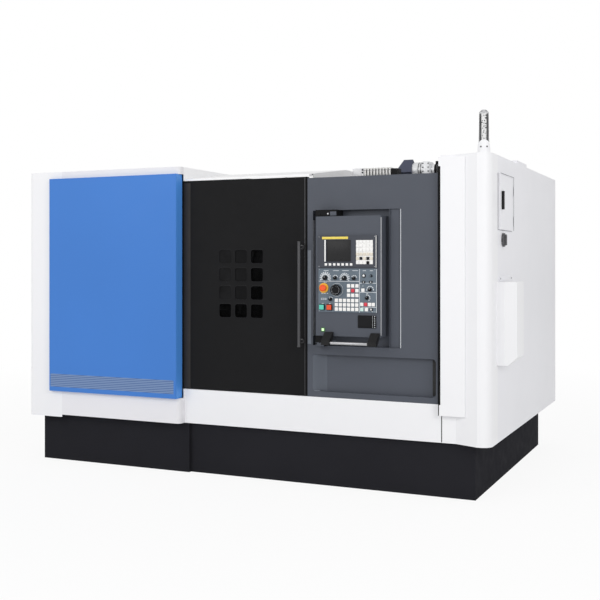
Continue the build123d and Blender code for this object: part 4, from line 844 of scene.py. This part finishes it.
# Door: rubber moulding on the left, seal on the right, rims round the windows, ends of the handle
door_low, door_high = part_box("sliding_door")
moulding_half = 0.027
moulding_proud = 0.0052
moulding_steps = 12
moulding_x = door_low.x + 0.078
moulding_back = door_low.y + 0.001
door_foot = door_low.z + 0.004
moulding = Piece("door_moulding", "black_paint", wiper, body="door")
profile = [(moulding_x + moulding_half, moulding_back), (moulding_x - moulding_half, moulding_back)]
for step in range(moulding_steps + 1):
    angle = math.pi * (1 - step / moulding_steps)
    profile.append((
        moulding_x + moulding_half * math.cos(angle),
        door_low.y - moulding_proud * math.sin(angle),
    ))
moulding.prism(profile, door_foot, door_high.z - 0.012, z_axis)

door_head = door_high.z - 0.006
door_seal = Piece("door_seals", "black_paint", seal, bar_grey, body="door")
door_seal.box(
    (door_high.x - 0.01, door_low.y - 0.0035, door_foot),
    (door_high.x - 0.001, door_low.y + 0.002, door_head),
)
door_seal.box(
    (door_high.x - 0.0165, door_low.y - 0.0022, door_foot),
    (door_high.x - 0.0125, door_low.y + 0.001, door_head), paint=1,
)

window_centre = (door_low.x + 0.492, door_low.z + 0.716)
rim_proud = 0.002
pane_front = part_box("door_window")[0].y
rims = Piece("window_rims", "black_paint", plastic, body="door")
blanks = Piece("window_blanks", "black_paint", blank_grey, blank_dark, body="door")
for spot, column, row in grid(window_centre, columns=3, rows=4, pitch=(0.118, 0.12)):
    outer = square(spot, half=0.0485, corner=0.0185)
    inner = square(spot, half=0.0442, corner=0.0145)
    rims.rim(outer, inner, door_low.y - rim_proud, door_low.y + rim_proud, edge_ease)
    if row > 0 and column < 2:
        blank = square(spot, half=0.044, corner=0.0142)
        blanks.prism(blank, pane_front - 0.001, pane_front, y_axis, column)

handle_low, handle_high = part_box("door_handle")
handle_x = (handle_low.x + handle_high.x) / 2
handle_y = handle_low.y + 0.011
end_proud = 0.0004
post_inset = 0.035
ends = Piece("handle_ends", "black_paint", bar_grey, body="door")
for z, way in ((handle_low.z - end_proud, 1), (handle_high.z + end_proud, -1)):
    ends.disc((handle_x, handle_y, z), (0.0, 0.0, way), radius=0.0122, depth=0.01, edge=0.0018)
for z in (handle_low.z + post_inset, handle_high.z - post_inset):
    ends.disc((handle_x, moulding_back, z), forward, radius=0.0145, depth=0.006, edge=0.0016)

# Dark strips beside the column, and the seam below them: the strip in the gap is a seal, and those on the
# faces in front of it are painted shadow for the shaded gap
column_low, column_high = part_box("corner_column")
trim_face = grey_low.y - 0.036
trim_back = trim_face + 0.01
trim_bottom = column_low.z + 0.168
seal_foot = grey_low.z + 0.002
seal_top = column_high.z - 0.1
seal_gap = 0.0005
seal_over = 0.0015
seam_half = 0.0026
seam_x = column_low.x + 0.01
seam_back = grey_low.y + 0.002
seal_and_shadow_strips = Piece("column_seal_and_shadow", "black_paint", seal)
seal_and_shadow_strips.box(
    (grey_high.x + seal_gap, grey_low.y + 0.006, seal_foot),
    (column_low.x - seal_gap, grey_low.y + 0.03, grey_high.z - seal_gap), edge=0.001,
)
# Dark strips on the faces in front of the gap, which the column hides: painted shadow
seal_and_shadow_strips.box(
    (column_low.x - seal_over, trim_face - 0.0025, seal_foot),
    (column_low.x + 0.012, trim_back, seal_top), edge=0.0018,
)
seal_and_shadow_strips.box(
    (column_low.x - seal_over, trim_face - 0.002, trim_bottom + 0.001),
    (column_low.x + 0.0035, trim_back, seal_foot), edge=0.001,
)
seal_and_shadow_strips.box(
    (column_low.x - 0.0068, grey_low.y - 0.001, trim_bottom),
    (column_low.x - 0.0004, seam_back, grey_low.z), edge=0.0004,
)
seal_and_shadow_strips.box(
    (seam_x - seam_half, grey_low.y - 0.0008, column_low.z + 0.003),
    (seam_x + seam_half, seam_back, trim_bottom), edge=0.0003,
)

# Closing plate at the open end of the roof lip
roof_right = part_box("roof_cover")[1].x
rail_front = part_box("door_rail")[0].y
lip_front = door_low.y + 0.0005
lip_low = door_high.z + 0.0035
lip_high = lip_low + 0.0125
roof_end = Piece("roof_end_cap", "white_paint", roof_white_lit)
lip = [(lip_front, lip_low), (rail_front, lip_low), (rail_front, lip_high + 0.0045), (lip_front, lip_high)]
roof_end.prism(lip, roof_right - 0.002, roof_right + 0.0006, x_axis)

# Seams round the cabinet door
cabinet_low, cabinet_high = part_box("cabinet_door")
seam_upright = 0.008
seam_level = 0.003
seam_gap = 0.0008
seam_ease = 0.0004
border_end = 0.001
hinge_room = 0.012
seam_sides = (cabinet_low.x - 0.001, cabinet_low.x + 0.0012)
border_sides = (cabinet_high.x - 0.0004, cabinet_high.x + 0.0006)
border_right = cabinet_high.y - hinge_room
border_top = cabinet_high.z - border_end
seams = Piece("cabinet_seams", "white_paint", seam_grey)
seams.box(
    (seam_sides[0], cabinet_low.y - seam_upright, cabinet_low.z),
    (seam_sides[1], cabinet_low.y - seam_gap, cabinet_high.z), seam_ease,
)
seams.box(
    (seam_sides[0], cabinet_low.y - seam_upright, cabinet_low.z - seam_level),
    (seam_sides[1], cabinet_high.y, cabinet_low.z - seam_gap), seam_ease,
)
border = Piece("cabinet_border", "white_paint", seam_grey, body="cabinet")
for left, bottom in (
    (border_right - seam_upright, cabinet_low.z + border_end),
    (cabinet_low.y + border_end, border_top - seam_level),
):
    border.box((border_sides[0], left, bottom), (border_sides[1], border_right, border_top), print_ease)

# Beacon: a white arched foot with two screws, a dark sleeve and a lit board inside the lens; the sleeve, open
# towards the front, darkens the lens's sides as painted shade
beacon_low, beacon_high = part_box("beacon_lens")
beacon = tuple((beacon_low + beacon_high) / 2)[:2]
beacon_facing = -76
foot_z = beacon_low.z - 0.0295
foot_steps = 72
foot_radii = (0.0348, 0.0352, 0.0378, 0.0382)
foot_dip = 0.042
arch_height = 0.048
arch_start = 0.15
arch_power = 0.6
foot = Piece("beacon_foot", "white_paint", white, bar_grey)
foot_loops = [[], [], [], []]
for number in range(foot_steps):
    angle = 360 * number / foot_steps
    turn = math.radians(angle - beacon_facing)
    arch = max(0.0, abs(math.cos(turn)) - arch_start) / (1 - arch_start)
    top = foot_z + foot_dip + arch_height * arch ** arch_power
    for loop, radius, z in zip(foot_loops, foot_radii, (foot_z, top, top - 0.001, foot_z)):
        loop.append((*around(angle, radius, beacon), z))
foot.skin(foot_loops)
for side in (-28, 28):
    angle = beacon_facing + side
    axis = (*around(angle, 1.0, (0.0, 0.0)), 0.0)
    head = (*around(angle, 0.0376, beacon), foot_z + 0.047)
    foot.screw(head, axis, radius=0.0052, paint=1)

board_low = beacon_low.z + 0.012
board_high = beacon_high.z - 0.022
board_middle = board_low + 0.105
sleeve_steps = 30
board = Piece("beacon_board", "white_paint", board_light, sleeve_grey, plastic)
# The dark sleeve leaves the front open, so the lens reads dark at its sides: painted shade
for opening, low, high in ((44, board_low, board_middle), (58, board_middle, board_high)):
    turns = [opening + (360 - 2 * opening) * step / sleeve_steps for step in range(sleeve_steps + 1)]
    shade_sleeve = [around(beacon_facing + turn, radius=0.025, centre=beacon) for turn in turns]
    shade_sleeve += [around(beacon_facing - turn, radius=0.0225, centre=beacon) for turn in turns]
    board.prism(shade_sleeve, low, high, z_axis, 1)
plate = [
    around(beacon_facing + turn, radius, beacon)
    for turn, radius in ((50, 0.018), (-50, 0.018), (-56, 0.016), (56, 0.016))
]
board.prism(plate, board_low, board_high, z_axis)
normal = Vector((*around(beacon_facing, 1.0, (0.0, 0.0)), 0.0))
across = Vector((-normal.y, normal.x, 0.0))


def on_board(height, offset, reach):
    """A place in front of the beacon's axis, over the board's foot."""
    return Vector((*beacon, board_low + height)) + normal * reach + across * offset


diode_rows = 13
for row in range(diode_rows):
    for column in (-1, 0, 1):
        spot = on_board(height=0.012 + row * 0.0152, offset=column * 0.0078, reach=0.011)
        board.disc(spot, normal, 0.0026, 0.003, 0.0006, int((row + column) % 3 == 0), sides=16)
for height, offset, chip_radius in (
    (0.196, 0.0112, 0.0042), (0.18, 0.011, 0.0046), (0.164, 0.004, 0.0036), (0.146, 0.01, 0.0044),
    (0.154, -0.011, 0.004), (0.121, 0.0102, 0.0042), (0.13, 0.0, 0.003), (0.094, -0.003, 0.003),
):
    board.disc(on_board(height, offset, reach=0.0115), normal, chip_radius, depth=0.0028, paint=2, sides=8)

# Cable carrier links and the terminal box's fittings above the grey cover
carrier_low, carrier_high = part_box("cable_carrier")
link_count = 9
link_pitch = 0.206 / link_count
link_half = link_pitch * 0.29
link_proud = 0.0012
links = Piece("carrier_links", "white_paint", key_white, edge_grey)
for number in range(link_count):
    x = carrier_low.x + link_pitch * (number + 0.5)
    links.box(
        (x - link_half, carrier_low.y - link_proud, carrier_low.z + 0.001),
        (x + link_half, carrier_high.y + link_proud, carrier_high.z + link_proud), edge=0.0016,
    )
    for z in (carrier_low.z + 0.018, carrier_high.z - 0.016):
        centre = (x, carrier_low.y - 0.001, z)
        links.disc(centre, forward, radius=0.0036, depth=0.0018, edge=0.0006, paint=1, sides=20)
tray_low, tray_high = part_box("cable_tray")
lid_inset = 0.003
terminal = Piece("terminal_fittings", "black_plastic", plastic, white)
terminal.box(
    (tray_low.x + lid_inset, tray_low.y - 0.0025, carrier_low.z + lid_inset),
    (carrier_low.x - 0.014, tray_low.y, tray_high.z - lid_inset), edge=0.001, paint=1,
)
for z in (tray_high.z - 0.012, tray_high.z - 0.031):
    terminal.screw((carrier_low.x - 0.007, tray_low.y, z), forward, pin_radius)

# Motor of the cross drive: flange, bands, a square housing with dark screws, encoder cap and plug
motor_low, motor_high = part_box("x_axis_motor")
_, motor_y, motor_z = (motor_low + motor_high) / 2
motor_radius = (motor_high.z - motor_low.z) / 2
motor = Piece("motor_bands", "steel", alloy, plastic, steel, body="carriage")
for start, length, grow, paint in (
    (0.001, 0.04, 0.0012, 0), (0.043, 0.007, 0.0004, 1), (0.052, 0.006, 0.001, 2),
    (0.06, 0.006, 0.0004, 1), (0.066, 0.006, 0.001, 2),
):
    centre = (motor_low.x + start, motor_y, motor_z)
    motor.disc(centre, sideways, motor_radius + grow, length, edge=0.0015, paint=paint, sides=64)
housing_left = motor_low.x + 0.076
housing_right = motor_low.x + 0.131
housing_half = motor_radius + 0.002
housing_inset = 0.008
housing_front = motor_y - housing_half
motor.box(
    (housing_left, housing_front, motor_z - housing_half),
    (housing_right, motor_y + housing_half, motor_z + housing_half), edge=0.006,
)
for x in (housing_left + housing_inset, housing_right - housing_inset):
    for level in (0.042, 0.014, -0.014, -0.042):
        motor.screw((x, housing_front, motor_z + level), forward, radius=0.0048, paint=1)
plug_half = 0.014
motor.disc((motor_high.x - 0.02, motor_y, motor_z), sideways, 0.0412, 0.0206, edge=0.003, paint=1, sides=48)
motor.disc((motor_high.x - 0.04, motor_y, motor_z), sideways, 0.0406, 0.006, edge=0.001, paint=2, sides=48)
motor.box(
    (motor_high.x - 0.016, motor_y - plug_half, motor_z + 0.039),
    (motor_high.x + 0.037, motor_y + plug_half, motor_z + 0.06), edge=0.003, paint=1,
)

# Side: pointer of the main switch and a mounting strip over the heat exchanger
switch_low, switch_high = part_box("main_switch")
switch_y = (switch_low.y + switch_high.y) / 2
switch_half = 0.0018
switch = Piece("switch_pointer", "black_plastic", edge_grey, body="switch")
switch.box(
    (switch_high.x - 0.0004, switch_y - switch_half, switch_high.z - 0.024),
    (switch_high.x + 0.0008, switch_y + switch_half, switch_high.z - 0.004), edge=0.0003,
)
exchanger_low, exchanger_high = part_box("heat_exchanger")
strip_left = exchanger_high.y - 0.19
strip_right = exchanger_high.y + 0.15
strip_bottom = exchanger_high.z + 0.002
strip_top = exchanger_high.z + 0.036
strip_face = exchanger_low.x + 0.004
strip_inset = 0.018
strip = Piece("exchanger_strip", "white_paint", side_white_shaded, edge_grey)
strip.box(
    (exchanger_low.x - 0.001, strip_left, strip_bottom),
    (strip_face, strip_right, strip_top), edge=0.0012,
)
for y in (strip_left + strip_inset, strip_right - strip_inset):
    strip.screw((strip_face, y, (strip_bottom + strip_top) / 2), sideways, paint=1)

# Back and left end: screwed access covers, one with louvres
rear_low, rear_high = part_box("rear_cover")
left_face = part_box("left_end_cover")[0].x
cover_proud = 0.004
cover_seat = 0.001
cover_ease = 0.002
cover_inset = 0.025
cover_screw = 0.0075
cover_bottom = rear_low.z + 0.283
cover_top = cover_bottom + 1.1
end_half = 0.62
rear_face = rear_high.y + cover_proud
end_face = left_face - cover_proud
rear_spans = [
    (rear_low.x + start, rear_low.x + start + width)
    for start, width in ((0.245, 0.8), (1.195, 0.75), (2.095, 0.7))
]


def screw_places(first, last):
    """Places of six screws: both ends and the middle, low and high."""
    for along in (first + cover_inset, (first + last) / 2, last - cover_inset):
        for z in (cover_bottom + cover_inset, cover_top - cover_inset):
            yield along, z


covers = Piece("access_covers", "white_paint", side_white_shaded, edge_grey)
for left, right in rear_spans:
    covers.box((left, rear_high.y - cover_seat, cover_bottom), (right, rear_face, cover_top), cover_ease)
    for x, z in screw_places(left, right):
        covers.screw((x, rear_face, z), backward, cover_screw, 1)
covers.box((end_face, -end_half, cover_bottom), (left_face + cover_seat, end_half, cover_top), cover_ease)
for y, z in screw_places(-end_half, end_half):
    covers.screw((end_face, y, z), leftward, cover_screw, 1)
louvre_count = 14
louvre_pitch = 0.042
louvre_start = cover_bottom + 0.18
louvre_left = rear_spans[2][0] + 0.15
louvre_right = louvre_left + 0.4
fin_profile = ((-0.001, 0.0), (-0.001, 0.03), (0.002, 0.03), (0.01, 0.003), (0.009, 0.0))
louvres = Piece("rear_louvres", "white_paint", side_white_shaded)
for number in range(louvre_count):
    z = louvre_start + number * louvre_pitch
    fin = [(rear_face + out, z + up) for out, up in fin_profile]
    louvres.prism(fin, louvre_left, louvre_right, x_axis)

# Pieces become objects
for piece in pieces:
    piece.done()

# Floor and backdrop, white to the eye but with a soft shadow under the plinth
studio = bpy.data.worlds.new("studio")
scene.world = studio
studio.use_nodes = True
world_tree = studio.node_tree
back = world_tree.nodes["Background"]
feed(back, "Color", (1.0, 1.0, 1.0, 1.0))


def seen(tree):
    """One where the eye, a reflection or a view through glass meets the surface."""
    path = tree.nodes.new("ShaderNodeLightPath")
    first = maths(tree, "MAXIMUM", path.outputs["Is Camera Ray"], path.outputs["Is Glossy Ray"])
    return maths(tree, "MAXIMUM", first, path.outputs["Is Transmission Ray"])


feed(back, "Strength", spread(world_tree, seen(world_tree), low=0.66, high=1.0, start=0.0, end=1.0))

floor_material, tree, shader = new_material("pale_floor")
feed(shader, "Roughness", 0.85)
feed(shader, "Specular IOR Level", 0.0)
where = place(tree)
grain = noise(tree, where, scale=30.0)
feed(shader, "Base Color", ramp(tree, grain, shade(238, 238, 238), shade(242, 242, 242)))
lift = node(tree, "ShaderNodeEmission", Strength=1.0)
blend = tree.nodes.new("ShaderNodeMixShader")
length = tree.nodes.new("ShaderNodeVectorMath")
length.operation = "LENGTH"
feed(length, 0, where)
fade = spread(tree, length.outputs["Value"], low=0.9, high=1.0, start=2.5, end=7.0)
feed(blend, "Fac", maths(tree, "MULTIPLY", seen(tree), fade))
feed(blend, 1, shader.outputs["BSDF"])
feed(blend, 2, lift.outputs["Emission"])
feed(tree.nodes["Material Output"], "Surface", blend.outputs["Shader"])
floor_form = bmesh.new()
bmesh.ops.create_grid(floor_form, x_segments=4, y_segments=4, size=40.0)
floor_data = bpy.data.meshes.new("studio_floor")
floor_form.to_mesh(floor_data)
floor_form.free()
floor_data.materials.append(floor_material)
floor = add_object("studio_floor", floor_data)
floor.location.z = -0.001


# Lights
def area(name, place_at, target, size, power):
    lamp_data = bpy.data.lights.new(name, "AREA")
    lamp_data.shape = "RECTANGLE"
    lamp_data.size = size[0]
    lamp_data.size_y = size[1]
    lamp_data.energy = power
    lamp_object = add_object(name, lamp_data)
    lamp_object.location = place_at
    aim = Vector(target) - Vector(place_at)
    lamp_object.rotation_euler = aim.to_track_quat("-Z", "Y").to_euler()


area("key_light", place_at=(-2.6, -7.5, 4.0), target=(-0.3, -1.0, 1.1), size=(6.0, 4.0), power=142.0)
area("side_light", place_at=(5.5, -4.8, 3.2), target=(1.2, -0.9, 1.1), size=(2.5, 2.5), power=84.0)

# Camera at the photograph's place: level, with the frame shifted down
camera_heading = 24.4
camera_data = bpy.data.cameras.new("view")
camera_data.lens = 58.44
camera_data.sensor_width = 36.0
camera_data.shift_y = -0.0625
camera = add_object("view", camera_data)
camera.location = (3.043, -6.744, 1.427)
camera.rotation_euler = (math.radians(90), 0.0, math.radians(camera_heading))
scene.camera = camera
